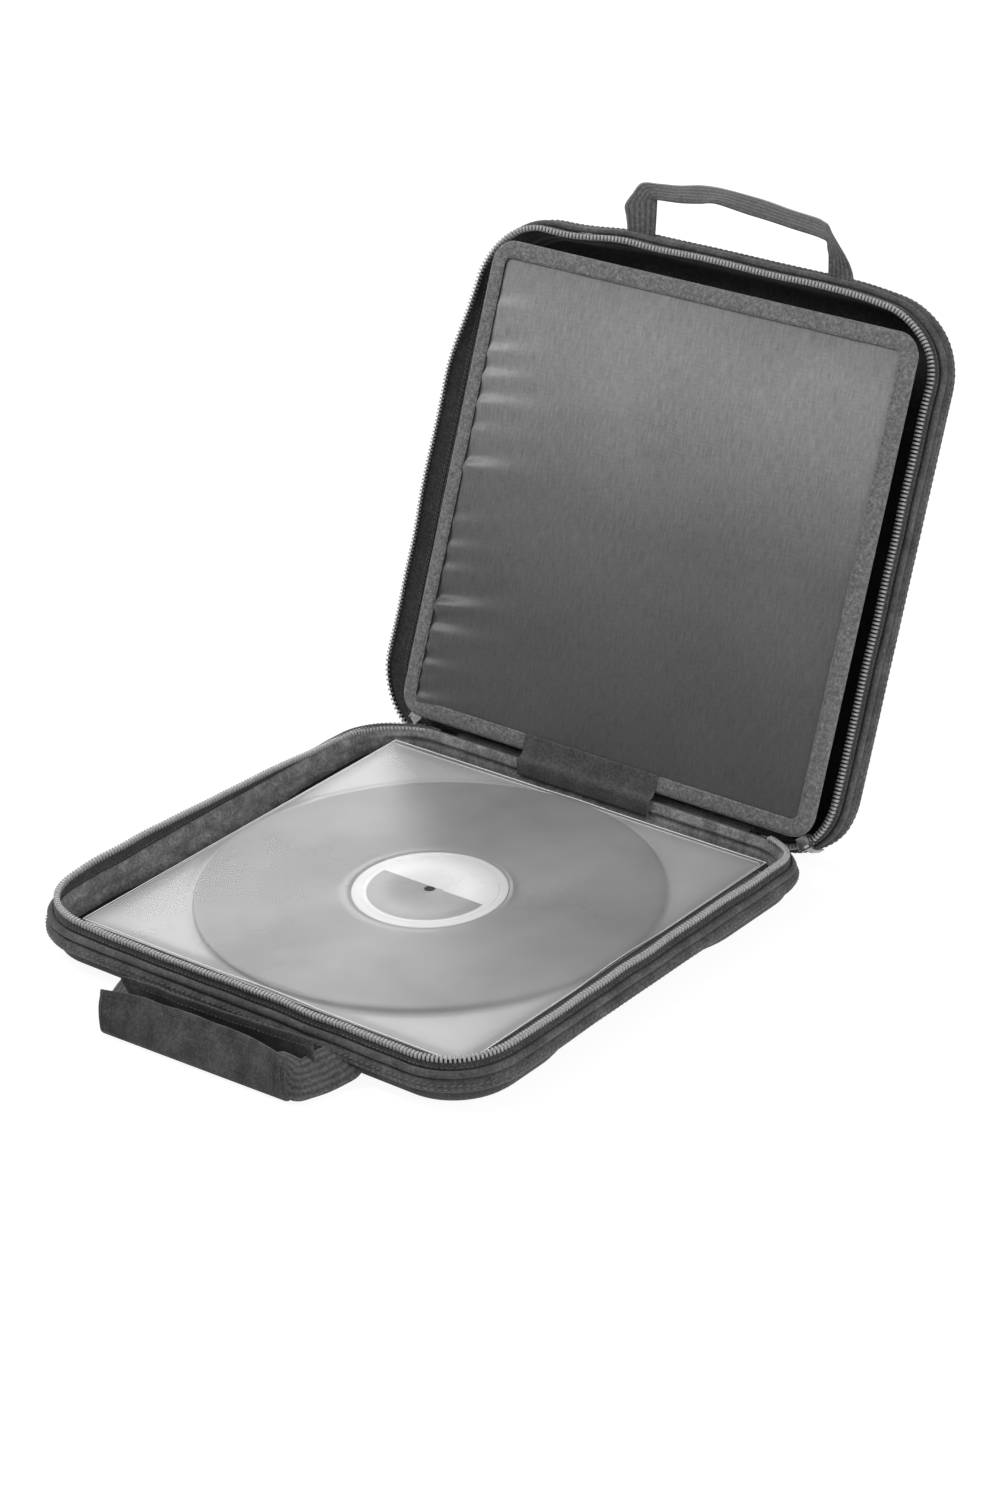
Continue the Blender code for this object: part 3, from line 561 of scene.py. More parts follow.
def case_half(side, lid):
    """One half's shell, rim band, piping, zip tape and teeth. Profiles run out from the outline, and up."""
    # Shell: underside, wall and inner lining
    profile = mm([
        (-30, 0), (-12, 0), (-6, 0.1), (-2.5, 1.1), (0.6, 3.6), (2.1, 6.4), (3, 9.5), (3.3, 13.5),
        (3.3, 18), (3.3, 22), (2.7, 24.7), (1.4, 25.8), (0, 25.8), (-1, 25), (-1.4, 23.2), (-3, 20.5),
        (-3.4, 18), (-2.4, 15.8), (-1.6, 14), (-3, 11.8), (-3.6, 9.2), (-3.4, 6.8), (-4.6, 5), (-7.5, 3.7),
        (-30, 3.5)])
    points = placed(ROUND[:, None], profile[None, :, 0], profile[None, :, 1], lid)
    # Painted light and shade on the inner wall: on the base, the pale roll (a lit copy) over a near-black
    # foot and floor of painted shade; on the lid, near-black all through, painted shade.
    bands = [0] * 12 + [1 if lid else 2] * 9 + [1] * 3
    piece = grid(f"{side}_body", points, [SHELL, SHADE_LINING, ROLL], side, close_u=True, flip=lid, bands=bands)
    fill_hubs(piece.data, *points.shape[:2], marks=(0, 1))
    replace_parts(piece, f"{side}_shell")

    # Rim band: a stitched padded strip, with the piping's ridge above it
    run = ROUND[(ROUND > CENTRE - 0.004) & (ROUND < AROUND - CENTRE + 0.004)]
    fade = (1 - 0.8 * smooth(outline(run)[0][:, 1], 0.150, 0.176))[:, None]
    ridge = mm([
        (3.5, 21), (4.6, 20.8), (6.2, 21.3), (7.2, 22.4), (7.4, 23.8), (6.6, 25.1), (5.2, 25.7), (4, 25.4),
        (3.4, 24.5)])
    strip = mm([
        (3.5, 20.6), (5.2, 20.5), (7, 19.8), (8.2, 18.4), (8.7, 16.5), (8.6, 14.5), (7.8, 12.8),
        (6.2, 11.6), (3.6, 11), (3.5, 15)])
    for name, profile in (("piping", ridge), ("band", strip)):
        offset = WALL + (profile[None, :, 0] - WALL) * fade
        points = placed(run[:, None], offset, profile[None, :, 1], lid)
        piece = grid(f"{side}_{name}", points, BAND, side, close_v=True, cap=True, flip=not lid)
        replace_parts(piece, f"{side}_rim_piping")
    for name, offset, height, slant in (("upper", 0.0087, 0.0178, 0.25), ("lower", 0.0086, 0.0148, -0.25)):
        path = placed(run, WALL + (offset - WALL) * fade[:, 0], height, lid)
        out = path - placed(run, 0.0, height, lid)
        piece = stitches(f"{side}_band_stitch_{name}", path, out, side, pitch=0.0042, length=0.0030,
                         slant=slant)

    # Zip tape: the base's rises at the left and falls towards the hinge, and the lid's leans out at the left
    first, last = CENTRE + 0.010, AROUND - CENTRE - 0.010
    run = lengths(first, (last, 0.005))
    x, y = outline(run)[0].T
    top = np.full(len(run), TAPE_TOP)
    if not lid:
        left = x < 0
        top += np.where(left, 0.0050 * np.exp(-((y + 0.095) / 0.075) ** 2) * smooth(-x, 0.10, 0.17), 0)
        top -= np.where(left, 0.0075 * smooth(y, 0.020, 0.165), 0.0040 * smooth(y, 0.150, 0.178))
    half = 0.0005
    rise = np.linspace(0, 1, 6)[None]
    tip = LID_TAPE_LEAN * smooth(-x, 0.11, 0.17) * (1 - smooth(np.abs(y - 0.045), 0.105, 0.200)) * lid
    lean = 0.0022 - 0.0020 * rise + 0.0006 * np.sin(rise * math.pi) + tip[:, None] * rise
    height = TAPE_FOOT + (top[:, None] - TAPE_FOOT) * rise
    outer = placed(run[:, None], lean + half, height, lid)
    inner = placed(run[:, None], (lean - 2 * half)[:, ::-1], height[:, ::-1], lid)
    points = np.concatenate([outer, inner], 1)
    piece = grid(f"{side}_tape", points, TAPE, side, close_v=True, cap=True, flip=lid)
    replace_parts(piece, f"{side}_zip_tape")
    for name, offset, beyond in (("out", 0.0029, 0.001), ("in", 0.0013, -0.001)):
        path = placed(run, offset - 0.0001, TAPE_FOOT + 0.0022, lid)
        back = placed(run, offset + beyond, TAPE_FOOT + 0.0022, lid) - path
        piece = stitches(f"{side}_tape_stitch_{name}", path, back, side, pitch=0.0030, length=0.0021,
                         radius=0.00022)

    # Teeth, and the cord between their feet: a real part of the zip, painted near-black as shade in the gaps
    # between the teeth
    fine = np.arange(first, last, 0.0026)
    crest = np.interp(fine, run, top)
    tip = 0.0004 + np.interp(fine, run, tip)
    low = placed(fine, tip, crest + 0.0001, lid)
    high = placed(fine, tip * 1.18, crest + 0.0024, lid)
    ahead = np.gradient(low, axis=0)
    ahead /= np.linalg.norm(ahead, axis=1)[:, None]
    up = high - low
    up -= ahead * (up * ahead).sum(1)[:, None]
    up /= np.linalg.norm(up, axis=1)[:, None]
    across = np.cross(up, ahead)
    verts, faces = box_shape(0.00074, 0.0021, 0.0014, top=0.85)
    frames = np.stack([ahead, across, up], 1)
    piece = many(f"{side}_teeth", low + up * 0.0013, frames, verts, faces, TEETH, side)
    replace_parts(piece, f"{side}_zip_coil")
    turn = np.linspace(0, 2 * math.pi, 6, endpoint=False)[None]
    cord = placed(fine[:, None], tip[:, None] + 0.0009 * np.cos(turn),
                  (crest + 0.0006)[:, None] + 0.0008 * np.sin(turn), lid)
    piece = grid(f"{side}_teeth_cord", cord[::2], PAINTED_SHADE, side, close_v=True, cap=True, flip=lid)


def fill_hubs(mesh, nu, nv, marks):
    """Closes a closed grid's first and last edge loops with a face each, of the materials in marks."""
    work = bmesh.new()
    work.from_mesh(mesh)
    work.verts.ensure_lookup_table()
    layer = work.loops.layers.uv.active
    for column, mark in zip((0, nv - 1), marks):
        face = work.faces.new([work.verts[i * nv + column] for i in range(nu)])
        face.material_index = mark
        for loop in face.loops:
            loop[layer].uv = (loop.vert.co.x, loop.vert.co.y + loop.vert.co.z)
    bmesh.ops.recalc_face_normals(work, faces=work.faces)
    work.to_mesh(mesh)
    work.free()


case_half("base", False)
case_half("lid", True)


# Inner panel


def panel_point(x, a, h):
    """A point of the panel: a up from its hinged edge, h out of its front face."""
    return opened(np.stack(np.broadcast_arrays(x, PANEL_REAR - a, PANEL_FACE - h), -1))


def face_grid(count, edge_height, crown):
    """x, length up the panel and height off it, on a grid within the binding; it is crowned."""
    x = np.linspace(-1, 1, count) * (PANEL_HALF - PANEL_INSET)
    a = np.linspace(PANEL_INSET, PANEL_LENGTH - PANEL_INSET, count)
    xx, aa = np.meshgrid(x, a, indexing="ij")
    dome = (1 - (xx / PANEL_HALF) ** 4) * np.sin(math.pi * aa / PANEL_LENGTH) ** 0.5
    return xx, aa, edge_height + crown * dome


def panel_face():
    """The satin front: a slight crown, with puckers that fan out from the left binding."""
    xx, aa, h = face_grid(150, -0.0006, 0.0007)
    # Each pucker's place up the edge and reach inwards, in millimetres, and its strength
    puckers = ((11, 30, 1.0), (23, 24, 0.8), (34, 30, 1.1), (48, 26, 0.9), (58, 36, 1.3), (77, 40, 1.5),
               (101, 28, 0.7), (117, 30, 0.7), (135, 26, 0.5), (174, 34, 1.2), (198, 26, 0.5), (218, 40, 1.0),
               (236, 36, 0.9), (253, 30, 0.8), (285, 26, 0.4))
    inward = xx + PANEL_HALF - PANEL_INSET
    width = 0.0042 + 0.070 * inward
    for place, reach, strength in puckers:
        drift = place / 1000 + 0.10 * inward
        fold = np.exp(-((aa - drift) / width) ** 2) - 0.6 * np.exp(-((aa - drift - 1.9 * width) / width) ** 2)
        fade = np.exp(-(inward / (1.15 * reach / 1000)) ** 1.5) * smooth(inward, 0.0, 0.004)
        h = h + 0.0024 * strength * fold * fade
    h = h + 0.0003 * ripple(xx + 0.6 * aa, 41, low=4, high=16)
    piece = grid("panel_face", panel_point(xx, aa, h), SATIN, "panel", flip=True)
    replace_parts(piece, "panel_board")


def panel_ring(inset):
    """The panel's outline drawn in by inset: x, and length up the panel."""
    half = np.array([PANEL_HALF, PANEL_LENGTH / 2]) - inset
    return rounded(np.array([0, PANEL_LENGTH / 2]), half, max(0.0165 - inset, 0.0012), 9, 28)


def panel_binding():
    """Folded tape round the panel's edge, with an uneven inner edge and a sewn line."""
    # Inset from the panel's edge, and height off its face
    profile = mm([
        (12.2, 0), (11.8, 0.9), (10, 1.3), (6, 1.4), (2.5, 1.1), (0.7, 0.3), (0.1, -1), (0.1, -2.6),
        (0.7, -3.8), (2.5, -4.5), (7, -4.6), (11.2, -4.3)])
    rings = []
    for inset, h in profile:
        pts = panel_ring(inset)
        length = np.concatenate([[0], np.cumsum(np.linalg.norm(np.diff(pts, axis=0), axis=1))])
        uneven = 0.00022 * ripple(length, 51, low=8, high=60) * (1 if inset > 0.002 else 0.4)
        rings.append(panel_point(pts[:, 0], pts[:, 1], h + uneven))
    # The binding's inner edge, front and back, where it meets the satin, is near-black: painted shade along
    # the seam.
    bands = [1] + [0] * 10 + [1]
    piece = grid("panel_edge", np.stack(rings, 1), [BINDING, PAINTED_SHADE], "panel", close_u=True, close_v=True,
                 flip=True, bands=bands)
    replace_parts(piece, "panel_binding")
    pts = panel_ring(0.0104)
    path = panel_point(pts[:, 0], pts[:, 1], 0.0013)
    front = panel_point(0.0, 0.1, 1.0) - panel_point(0.0, 0.1, 0.0)
    piece = stitches("panel_edge_stitch", path, front, "panel", pitch=0.0032, length=0.0024, radius=0.00026,
                     closed=True)


def panel_back():
    xx, aa, h = face_grid(30, -0.0032, -0.0006)
    # The panel's back: near-black lining, painted shade in the gap behind the panel.
    grid("panel_lining", panel_point(xx, aa, h), SHADE_LINING, "panel")


panel_face()
panel_binding()
panel_back()


# Straps, cloth hinge and tab


def curve(knots, values, t):
    """Smooth interpolation through values at knots (Catmull-Rom)."""
    values = np.asarray(values, float)
    slopes = np.gradient(values, knots, axis=0)
    index = np.clip(np.searchsorted(knots, t, side="right") - 1, 0, len(knots) - 2)
    width = knots[index + 1] - knots[index]
    u = ((t - knots[index]) / width)[:, None]
    a, b = values[index], values[index + 1]
    ma, mb = slopes[index] * width[:, None], slopes[index + 1] * width[:, None]
    return ((2 * u ** 3 - 3 * u ** 2 + 1) * a + (u ** 3 - 2 * u ** 2 + u) * ma
            + (3 * u ** 2 - 2 * u ** 3) * b + (u ** 3 - u ** 2) * mb)


def strap(name, edges, body, samples):
    """Webbing from rows of its two edges: x, y, z of one edge and then of the other."""
    knots, t = np.linspace(0, 1, len(edges)), np.linspace(0, 1, samples)
    first, second = edges[:, :3], edges[:, 3:]
    centre = curve(knots, (first + second) / 2, t)
    half_width = curve(knots, (second - first) / 2, t)
    up = np.cross(np.gradient(centre, axis=0), half_width)
    up /= np.linalg.norm(up, axis=1)[:, None]
    thickness = 0.0017
    across = np.linspace(-1, 1, 9)
    middle = centre[:, None] + half_width[:, None] * across[None, :, None]
    lift = up[:, None] * (thickness / 2 * np.sqrt(np.clip(1 - np.abs(across) ** 8, 0.05, 1)))[None, :, None]
    points = np.concatenate([middle + lift, (middle - lift)[:, ::-1]], 1)
    piece = grid(name, points, WEBBING, body, close_v=True, cap=True)
    return piece


def lid_handle():
    """Rows of x, height over the lid's front and depth, of the strap's outer edge and then its inner one."""
    rows = mm([
        (-83.5, -1, 0, -60, -1, 0), (-83.4, 5.9, 0, -60, 4.2, 0), (-86.5, 14, 0, -62, 16, 0),
        (-89.2, 20.6, 0, -64.3, 28, 0), (-86, 29, 1.2, -63.4, 28.2, -1.5),
        (-80.8, 37.2, 2, -62.2, 28.4, -3), (-70, 39, 6, -57, 28.8, -6.5),
        (-56, 40.6, 9.5, -48.4, 29.3, -8.5), (-40, 43.7, 9.8, -37.7, 30.2, -8.5),
        (-26.5, 44.8, 9.8, -24.7, 32.3, -8.5), (-16, 44.7, 9.8, -17.1, 34, -8.7),
        (-7.6, 44.4, 9.8, -9, 34.3, -9), (14.1, 43.2, 9.8, 12.8, 32.3, -9), (35, 40.9, 9.8, 32, 31, -9),
        (54.7, 39.4, 10, 50.5, 29.4, -9), (60, 38.2, 10, 66.4, 28.3, -9), (64.4, 36.5, 10, 74, 27.4, -9.8),
        (68.7, 31.7, 10, 78.3, 26.2, -10), (75.7, 25.3, 10, 80, 22, -10), (83.9, 19, 8, 81, 17.9, -8.5),
        (90.8, 13.6, 5, 80.3, 11.5, -5), (96.2, 7.8, 2, 79.5, 6, -2), (100, -1, 0, 78, -1, 0)])
    for x in (0, 3):
        place = [rows[:, x], LID_FRONT - rows[:, x + 1], LID_BAND + rows[:, x + 2]]
        rows[:, x:x + 3] = opened(np.stack(place, 1))
    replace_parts(strap("lid_carry_strap", rows, "lid", 150), "lid_handle")


def base_strap():
    """Rows of x, y, z for the strap's outer edge and then its inner one, from the left leg to the right."""
    rows = mm([
        (-92.5, -180, 10, -69.5, -180, 13), (-91.5, -188, 8, -69, -188, 11),
        (-88, -199, 6.2, -68.5, -195, 8.5), (-82, -212, 5.6, -67.5, -202, 7),
        (-74, -222, 5.6, -65.5, -204, 6.2), (-62, -226, 5.6, -61, -203.6, 6),
        (-30, -226.3, 5.6, -30, -203.6, 6), (15, -225.5, 5.6, 15, -203, 6.5), (45, -221.5, 9, 45, -205, 12),
        (59, -221, 14, 59, -206, 20), (69, -222.5, 12, 66, -205, 20), (79, -225.2, 5, 71.5, -203, 18),
        (86, -222.5, 3.4, 72.5, -200.5, 18.5), (90.5, -214, 3.4, 73, -197.5, 18.8),
        (94, -204, 3.4, 73.5, -194, 19), (96.5, -194, 4, 74, -190, 19), (100, -186, 6.5, 74.5, -186, 18.5),
        (101, -180, 10, 75, -180, 18)])
    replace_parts(strap("base_carry_strap", rows, "base", 130), "base_handle_strap")


def flap(low, top, height, side, inside):
    """Points up one flap of the wrap: its outside, or its inside a thickness away."""
    rows = []
    for rise, bulge in ((0.12, 0.0012), (0.30, 0.0017), (0.52, 0.0014), (0.72, 0.0008), (0.84, -0.0002),
                        (0.93, 0.0005)):
        y = low + (top - low) * smooth(rise, 0.05, 1.3) / smooth(1.0, 0.05, 1.3)
        y = y + side * (0.7 * (bulge - 0.0030) if inside else bulge)
        rows.append((y, 0.0006 + (height - 0.0006) * rise))
    return rows


def handle_wrap():
    """Padded wrap, open upwards: its two flaps stand round the strap and lean together in the middle."""
    t = np.linspace(0, 1, 70)
    x = -0.0670 + (0.0785 + 0.0670) * t
    front_top = np.interp(x, mm([-67, -60, -42.4, -12.6, 22.1, 43.3, 58.3, 70.6, 78.5]),
                          mm([-228.5, -224.5, -220.5, -217.8, -217.2, -217.6, -219.6, -223.2, -225]))
    rear_top = np.interp(x, mm([-67, -61.3, -34.2, -7.2, 18, 51.9, 65.8, 78.5]),
                         mm([-208.5, -206.5, -205.8, -205.2, -203.6, -200.8, -199.2, -198.4]))
    front_top = np.convolve(np.pad(front_top, 3, mode="edge"), np.ones(7) / 7, mode="valid")
    front_low = -0.2298 + 0.033 * (x + 0.053)
    rear_low = -0.1985 + 0.012 * x
    middle = (rear_low + front_low) / 2
    sway = 0.0006 * ripple(x, 61, low=6, high=22)
    front_high = 0.0300 + 0.6 * sway + 0.0016 * smooth(x, 0.05, 0.078)
    rear_high = 0.0312 - 0.6 * sway

    # The loop of y and z round a section: rear flap, floor and front flap outside, and then the same inside
    outer = flap(rear_low, rear_top, rear_high, 1, False)[::-1]
    outer += [(rear_low - 0.0004, 0.0014), (rear_low - 0.0030, 0.0005), (middle, 0.0005),
              (front_low + 0.0030, 0.0005), (front_low + 0.0004, 0.0014)]
    outer += flap(front_low, front_top, front_high, -1, False)
    outer += [(front_top - 0.0002, front_high), (front_top + 0.0008, front_high + 0.0006),
              (front_top + 0.0018, front_high)]
    inner = flap(front_low, front_top, front_high, -1, True)[::-1]
    inner += [(front_low + 0.0040, 0.0046), (front_low + 0.0070, 0.0038), (middle, 0.0037),
              (rear_low - 0.0070, 0.0038), (rear_low - 0.0040, 0.0046)]
    inner += flap(rear_low, rear_top, rear_high, 1, True)
    inner += [(rear_top - 0.0018, rear_high), (rear_top - 0.0008, rear_high + 0.0006),
              (rear_top + 0.0002, rear_high)]
    loop = outer + inner
    points = np.zeros((len(x), len(loop), 3))
    for k, (y, z) in enumerate(loop):
        points[:, k, 1], points[:, k, 2] = y + sway * smooth(z, 0.008, 0.024), z
    height = points[:, :, 2]
    creases = ripple(x[:, None] + 1.2 * height, 63, low=15, high=48)
    points[:, :, 1] += 0.0006 * creases * smooth(height, 0.004, 0.012)
    near_end = smooth(np.abs(t - 0.5), 0.42, 0.5)[:, None]
    points[:, :, 0] = x[:, None] + 0.0012 * np.sin(height / 0.0045) * near_end

    # The ends close on the pad's middle, half way between each point and the one across the pad
    facing = (36 - np.arange(len(loop))) % len(loop)
    ends = [(points[row] + points[row][facing]) / 2 + np.array([shift, 0, 0])
            for row, shift in ((0, -0.0006), (-1, 0.0006))]
    closed = np.concatenate([ends[0][None], points, ends[1][None]])
    piece = grid("wrap_pad", closed, WRAP, "base", close_v=True, flip=True)
    soften = piece.modifiers.new("soften", "SUBSURF")
    soften.levels = soften.render_levels = 1
    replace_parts(piece, "handle_wrap")

    front_face = slice(11, 18)
    for name, row in (("left", 4), ("left_edge", 1), ("right", len(x) - 5), ("right_edge", len(x) - 2)):
        path = points[row, front_face]
        knots, dense = np.linspace(0, 1, len(path)), np.linspace(0, 1, 40)
        path = np.stack([np.interp(dense, knots, path[:, k]) for k in range(3)], 1) - np.array([0, 0.0003, 0])
        piece = stitches(f"wrap_stitch_{name}", path, (0.0, -1.0, 0.1), "base", pitch=0.0030, length=0.0022,
                         radius=0.0003, look=BAND)
    for name, column, out in (("front", 15, (0.0, -0.9, 0.3)), ("rear", 1, (0.0, 0.9, 0.3)),
                              ("rear_inside", 35, (0.0, -0.9, 0.3))):
        path = points[:, column] + np.array(out) * 0.0003
        piece = stitches(f"wrap_stitch_{name}", path, out, "base", pitch=0.0032, length=0.0024, radius=0.0003,
                         look=BAND)
    for name, columns, replaced, slot in (("hooks", slice(20, 25), "wrap_hook_tape", "hook_tape"),
                                          ("loops", slice(1, 5), "wrap_loop_tape", "loop_tape")):
        inside = points[3:-3, columns]
        faces = inside + np.array([0, 0.0003, 0]), inside[:, ::-1] + np.array([0, 0.0011, 0])
        piece = grid(f"wrap_{name}", np.concatenate(faces, 1), HOOKS, "base", close_v=True, cap=True)
        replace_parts(piece, replaced)


def soft_sheet(name, path, x0, x1, look, wrinkle, seed):
    """A cloth strip along a (y, z) path, from x0 to x1, and its length; its ends stay where they are sewn."""
    t = np.linspace(0, 1, 26)
    line = curve(np.linspace(0, 1, len(path)), path, t)
    x = np.linspace(x0, x1, 60)
    tangent = np.gradient(line, axis=0)
    normal = np.stack([-tangent[:, 1], tangent[:, 0]], 1)
    normal /= np.linalg.norm(normal, axis=1)[:, None]
    loose = np.sin(math.pi * t) ** 2
    sway = wrinkle * ripple(x, seed, low=8, high=30)[:, None] * loose[None]
    half = 0.00045
    points = np.zeros((len(x), len(t), 2, 3))
    for k, side in enumerate((1, -1)):
        points[:, :, k, 0] = x[:, None]
        points[:, :, k, 1:] = line[None] + normal[None] * (sway + side * half)[:, :, None]
    loop = np.concatenate([points[:, :, 0], points[:, ::-1, 1]], 1)
    return grid(name, loop, look, close_v=True, cap=True), np.linalg.norm(np.diff(line, axis=0), axis=1).sum()


def at_open(y, z):
    """Where y, z of the closed lid lies open."""
    place = opened(np.array([[0.0, y, z]]))[0]
    return float(place[1]), float(place[2])


def hinge_and_tab():
    """The spine from the base's rear wall to the lid's, and the tab from that wall's inside to the panel."""
    wall = HALF + 0.0032 + 0.0008
    path = [(wall, 0.0075), (wall, 0.0140), (wall + 0.0022, 0.0188), (wall + 0.0060, 0.0198),
            (wall + 0.0090, 0.0168), (wall + 0.0104, 0.0110), at_open(wall + 0.0004, 0.0440),
            at_open(wall, 0.0475), at_open(wall, 0.0530)]
    piece, length = soft_sheet("spine_cloth", path, -0.122, 0.122, SHELL, 0.0007, 71)
    at_open(wall, 0.0470)
    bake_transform(piece)
    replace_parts(piece, "hinge_cloth")
    face = PANEL_FACE - 0.0016
    inside = HALF - 0.0015 - 0.0022
    path = [at_open(PANEL_REAR - 0.0120, face), at_open(PANEL_REAR - 0.0040, face), (0.1768, 0.0252),
            (inside + 0.0006, 0.0236), (inside - 0.0006, 0.0200), (inside - 0.0008, 0.0125)]
    piece, length = soft_sheet("tab_cloth", path, -0.061, 0.049, TAB, 0.0003, 81)
    at_open(PANEL_REAR - 0.0030, face)
    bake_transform(piece)
    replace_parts(piece, "panel_tab")


lid_handle()
base_strap()
handle_wrap()
hinge_and_tab()


# Records


def spun(points, middle, turn):
    """Points turned about middle, anticlockwise from above."""
    spin = np.array([[math.cos(turn), math.sin(turn)], [-math.sin(turn), math.cos(turn)]])
    return middle + (points - middle) @ spin


def lower_sleeve(name, middle, turn, low, high, seed):
    """A thin sleeve with soft edges: its outline sways a little and its rim is rounded."""
    rings = []
    for inset, z in ((0.012, low), (0.0008, low + 0.0002), (0.0, (low + high) / 2), (0.0008, high - 0.0002),
                     (0.012, high), (0.030, high)):
        pts = rounded(middle, LOWER_SLEEVE_HALF - inset, max(0.004 - inset * 0.2, 0.001))
        length = np.linspace(0, 1.2, len(pts))
        pts = spun(pts, middle, turn)
        out = (pts - middle) / np.linalg.norm(pts - middle, axis=1)[:, None]
        pts = pts + out * (0.0003 * ripple(length, seed, low=1, high=5))[:, None]
        lift = 0.000125 * ripple(length, seed + 1, low=1, high=6) if low < z < high else 0
        rings.append(np.column_stack([pts, np.full(len(pts), z) + lift]))
    points = np.stack(rings, 1)
    piece = grid(name, points, LOWER_FILM, "base", close_u=True, flip=True)
    fill_hubs(piece.data, *points.shape[:2], marks=(0, 0))
    return piece


def tube(name, path, radius, look, closed=False):
    """A thin round edge along path, which lies in a level plane or nearly."""
    if closed:
        ahead = np.gradient(np.concatenate([path[-2:], path, path[:2]]), axis=0)[2:-2]
    else:
        ahead = np.gradient(path, axis=0)
    ahead /= np.linalg.norm(ahead, axis=1)[:, None]
    side = np.stack([-ahead[:, 1], ahead[:, 0], 0 * ahead[:, 0]], 1)
    turn = np.linspace(0, 2 * math.pi, 6, endpoint=False)
    points = path[:, None] + radius * np.cos(turn)[None, :, None] * side[:, None]
    points[:, :, 2] += 0.7 * radius * np.sin(turn)[None]
    return grid(name, points, look, "base", close_u=closed, close_v=True, cap=not closed)


def turned(name, profile, look, steps=180, solid=True):
    """A round piece from (radius, height) points about the record's middle."""
    angle = np.linspace(0, 2 * math.pi, steps, endpoint=False)
    points = [[(RECORD_X + r * math.cos(a), RECORD_Y + r * math.sin(a), z) for r, z in profile]
              for a in angle]
    return grid(name, points, look, "base", close_u=True, close_v=solid, flip=solid)


def records():
    """The stack of sleeved records, and the top one's disc, label and clear sleeve."""
    shifts = ((-0.0020, 0.0012, 0.0090), (0.0016, -0.0022, -0.0075), (-0.0012, -0.0006, 0.0040))
    for index, (dx, dy, turn) in enumerate(shifts):
        low = TRAY_FLOOR + index * RECORD_STEP
        middle = np.array([SLEEVE_X + dx, SLEEVE_Y + dy])
        piece = lower_sleeve(f"lower_sleeve_{index + 1}", middle, turn, low, low + 0.0038, 90 + index)
        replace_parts(piece, f"sleeved_record_{index + 1}")
        rim = spun(rounded(middle, LOWER_SLEEVE_HALF + 0.0003, 0.004), middle, turn)
        height = low + 0.0034 + 0.0003 * ripple(np.linspace(0, 1.2, len(rim)), 97 + index, low=1, high=6)
        path = np.column_stack([rim, height])
        tube(f"lower_sleeve_rim_{index + 1}", path, 0.0006, EDGE_FILM, closed=True)
    bottom = STACK_TOP + 0.0008
    top = bottom + 0.0022
    inner, dip = bottom + 0.0003, top - 0.0007
    profile = [(SPINDLE, inner), (0.0500, inner), (0.0560, inner), (0.1490, inner), (0.1504, bottom + 0.0001),
               (0.1509, bottom + 0.0008), (0.1504, top - 0.0004), (0.1490, top - 0.0002),
               (0.1460, top - 0.0003), (0.0600, top - 0.0003), (0.0540, top - 0.0001), (0.0506, top - 0.0001),
               (0.0503, dip), (SPINDLE, dip)]
    piece = turned("record_disc", profile, VINYL)
    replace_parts(piece, "record")
    under = dip + 0.0003
    profile = [(SPINDLE, under), (0.0499, under), (0.0500, under + 0.00015), (0.0499, under + 0.0003),
               (SPINDLE, under + 0.0003)]
    piece = turned("label_disc", profile, LABEL)
    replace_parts(piece, "record_label")
    # A near-black disc in the spindle hole: painted shade for the dark hole.
    rings = [(0.0002, under + 0.0004), (SPINDLE, under + 0.0004)]
    turned("spindle_hole_painted_shade", rings, PAINTED_SHADE, steps=30, solid=False)
    sleeve_film(STACK_TOP, STACK_TOP + 0.0039)


def sleeve_film(low, high):
    """The sleeve's upper film, which lies over the record a little slack, and its four edges."""
    n = 90
    t = np.linspace(-1, 1, n)
    xx, yy = np.meshgrid(SLEEVE_X + t * SLEEVE_HALF, SLEEVE_Y + t * SLEEVE_HALF, indexing="ij")
    r = np.hypot(xx - RECORD_X, yy - RECORD_Y)
    edge = SLEEVE_HALF - np.maximum(np.abs(xx - SLEEVE_X), np.abs(yy - SLEEVE_Y))
    rim, crown = low + 0.0016, high - 0.0004
    z = rim + (crown - rim) * (1 - smooth(r, 0.1495, 0.158))
    z = np.where(r < RECORD_RADIUS, crown, z)
    z = z - 0.0009 * (1 - smooth(edge, 0.0, 0.004)) * (r > RECORD_RADIUS)
    z = z + 0.00010 * ripple(xx * 0.8 + yy * 1.1, 95, low=3, high=14) * smooth(edge, 0.0, 0.02) * (r > 0.10)
    points = np.stack([xx, yy, z], -1)
    piece = grid("sleeve_top", points, FILM, "base")
    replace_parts(piece, "record_sleeve")
    for name, start, end in (("left", (-1, -1), (-1, 1)), ("front", (-1, -1), (1, -1)),
                             ("back", (-1, 1), (1, 1)), ("right", (1, -1), (1, 1))):
        share = np.linspace(0, 1, 60)[:, None]
        along_edge = start + (np.array(end) - start) * share
        i, j = np.clip(np.round((along_edge + 1) / 2 * (n - 1)).astype(int), 0, n - 1).T
        flat = np.array([SLEEVE_X, SLEEVE_Y]) + SLEEVE_HALF * along_edge
        path = np.column_stack([flat, z[i, j]])
        tube(f"sleeve_edge_{name}", path, 0.00045, EDGE_FILM)


records()


# Solids that stay


for node in ("zip_slider_left", "zip_slider_right", "slider_pull_left", "slider_pull_right"):
    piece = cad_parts[node]
    piece.data.materials.clear()
    piece.data.materials.append(METAL)


# Floor, light and camera


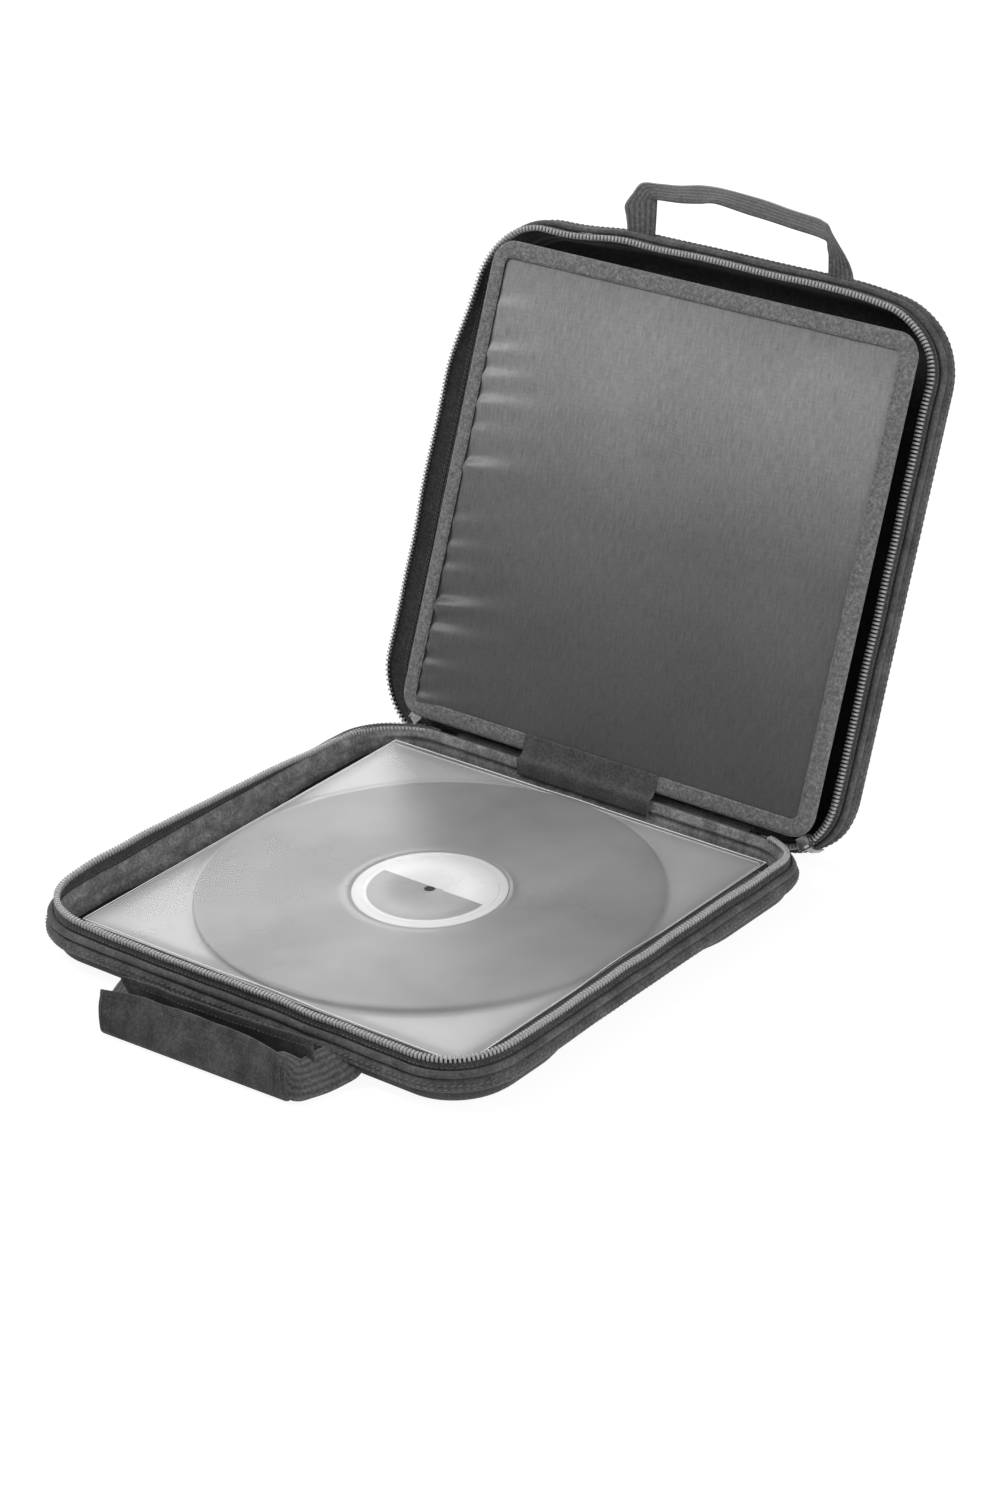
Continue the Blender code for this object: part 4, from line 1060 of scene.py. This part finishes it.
def studio():
    """A white world that lights softly, a pale floor that glows to the camera, and three lamps."""
    scene = bpy.context.scene
    scene.view_settings.view_transform = "Standard"
    world = bpy.data.worlds.new("studio")
    scene.world = world
    world.use_nodes = True
    tree = world.node_tree
    nodes, links = tree.nodes, tree.links
    nodes.clear()
    rays = nodes.new("ShaderNodeLightPath")
    seen = maths(tree, "MAXIMUM", rays.outputs["Is Camera Ray"], rays.outputs["Is Transmission Ray"])
    seen = maths(tree, "MAXIMUM", seen, maths(tree, "MULTIPLY", rays.outputs["Is Glossy Ray"], 0.75))
    strength = maths(tree, "MULTIPLY_ADD", seen, 1 - WORLD_LIGHT, WORLD_LIGHT)
    background = nodes.new("ShaderNodeBackground")
    background.inputs["Color"].default_value = (1, 1, 1, 1)
    links.new(strength, background.inputs["Strength"])
    output = nodes.new("ShaderNodeOutputWorld")
    links.new(background.outputs[0], output.inputs[0])

    made, tree, shader = material("studio_floor")
    nodes, links = tree.nodes, tree.links
    uniform(shader, {"Base Color": (0.86, 0.86, 0.86, 1), "Roughness": 0.9})
    rays = nodes.new("ShaderNodeLightPath")
    glow = nodes.new("ShaderNodeEmission")
    glow.inputs["Color"].default_value = (1, 1, 1, 1)
    glow.inputs["Strength"].default_value = 1.12
    mix = nodes.new("ShaderNodeMixShader")
    seen = maths(tree, "MAXIMUM", rays.outputs["Is Camera Ray"], rays.outputs["Is Glossy Ray"])
    links.new(maths(tree, "MULTIPLY", seen, 0.82), mix.inputs[0])
    links.new(shader.outputs[0], mix.inputs[1])
    links.new(glow.outputs[0], mix.inputs[2])
    links.new(mix.outputs[0], nodes["Material Output"].inputs[0])
    mesh = bpy.data.meshes.new("floor")
    size = 8.0
    corners = [(-size, -size, 0), (size, -size, 0), (size, size, 0), (-size, size, 0)]
    mesh.from_pydata(corners, [], [(0, 1, 2, 3)])
    mesh.materials.append(made)
    floor = bpy.data.objects.new("floor", mesh)
    scene.collection.objects.link(floor)

    for name, place, target, size, power in (
            ("key", (-1.3, -0.7, 1.9), (0.0, 0.1, 0.15), 1.0, 28.0),
            ("back_left", (-1.5, 1.3, 0.95), (0.0, 0.0, 0.02), 1.1, 20.0),
            ("right", (2.0, -0.2, 0.9), (0.0, 0.0, 0.12), 1.2, 20.0)):
        light = bpy.data.lights.new(name, "AREA")
        light.size = size
        light.energy = power
        lamp = bpy.data.objects.new(name, light)
        lamp.location = place
        lamp.rotation_euler = (Vector(target) - Vector(place)).to_track_quat("-Z", "Y").to_euler()
        scene.collection.objects.link(lamp)


def camera():
    """The camera fitted to the photograph's record, label, sleeve and panel edges."""
    azimuth, elevation, roll = math.radians(39.38), math.radians(26.56), math.radians(-2.0)
    distance, focal, frame_height, shift_x, shift_y = 2.5779, 4062.5, 1510, 0.04395, 0.08454
    level = math.cos(elevation)
    back = np.array([math.sin(azimuth) * level, -math.cos(azimuth) * level, math.sin(elevation)])
    right = np.array([math.cos(azimuth), math.sin(azimuth), 0.0])
    up = np.cross(back, right)
    right, up = math.cos(roll) * right + math.sin(roll) * up, math.cos(roll) * up - math.sin(roll) * right
    eye = np.array([0.003, 0.002, 0.020]) + shift_x * right + shift_y * up + distance * back
    data = bpy.data.cameras.new("camera")
    data.sensor_width = 36.0
    data.lens = data.sensor_width * focal / frame_height
    data.clip_end = 50.0
    view = bpy.data.objects.new("camera", data)
    view.matrix_world = Matrix([*zip(right, up, back, eye), (0, 0, 0, 1)])
    bpy.context.scene.collection.objects.link(view)
    bpy.context.scene.camera = view


studio()
camera()
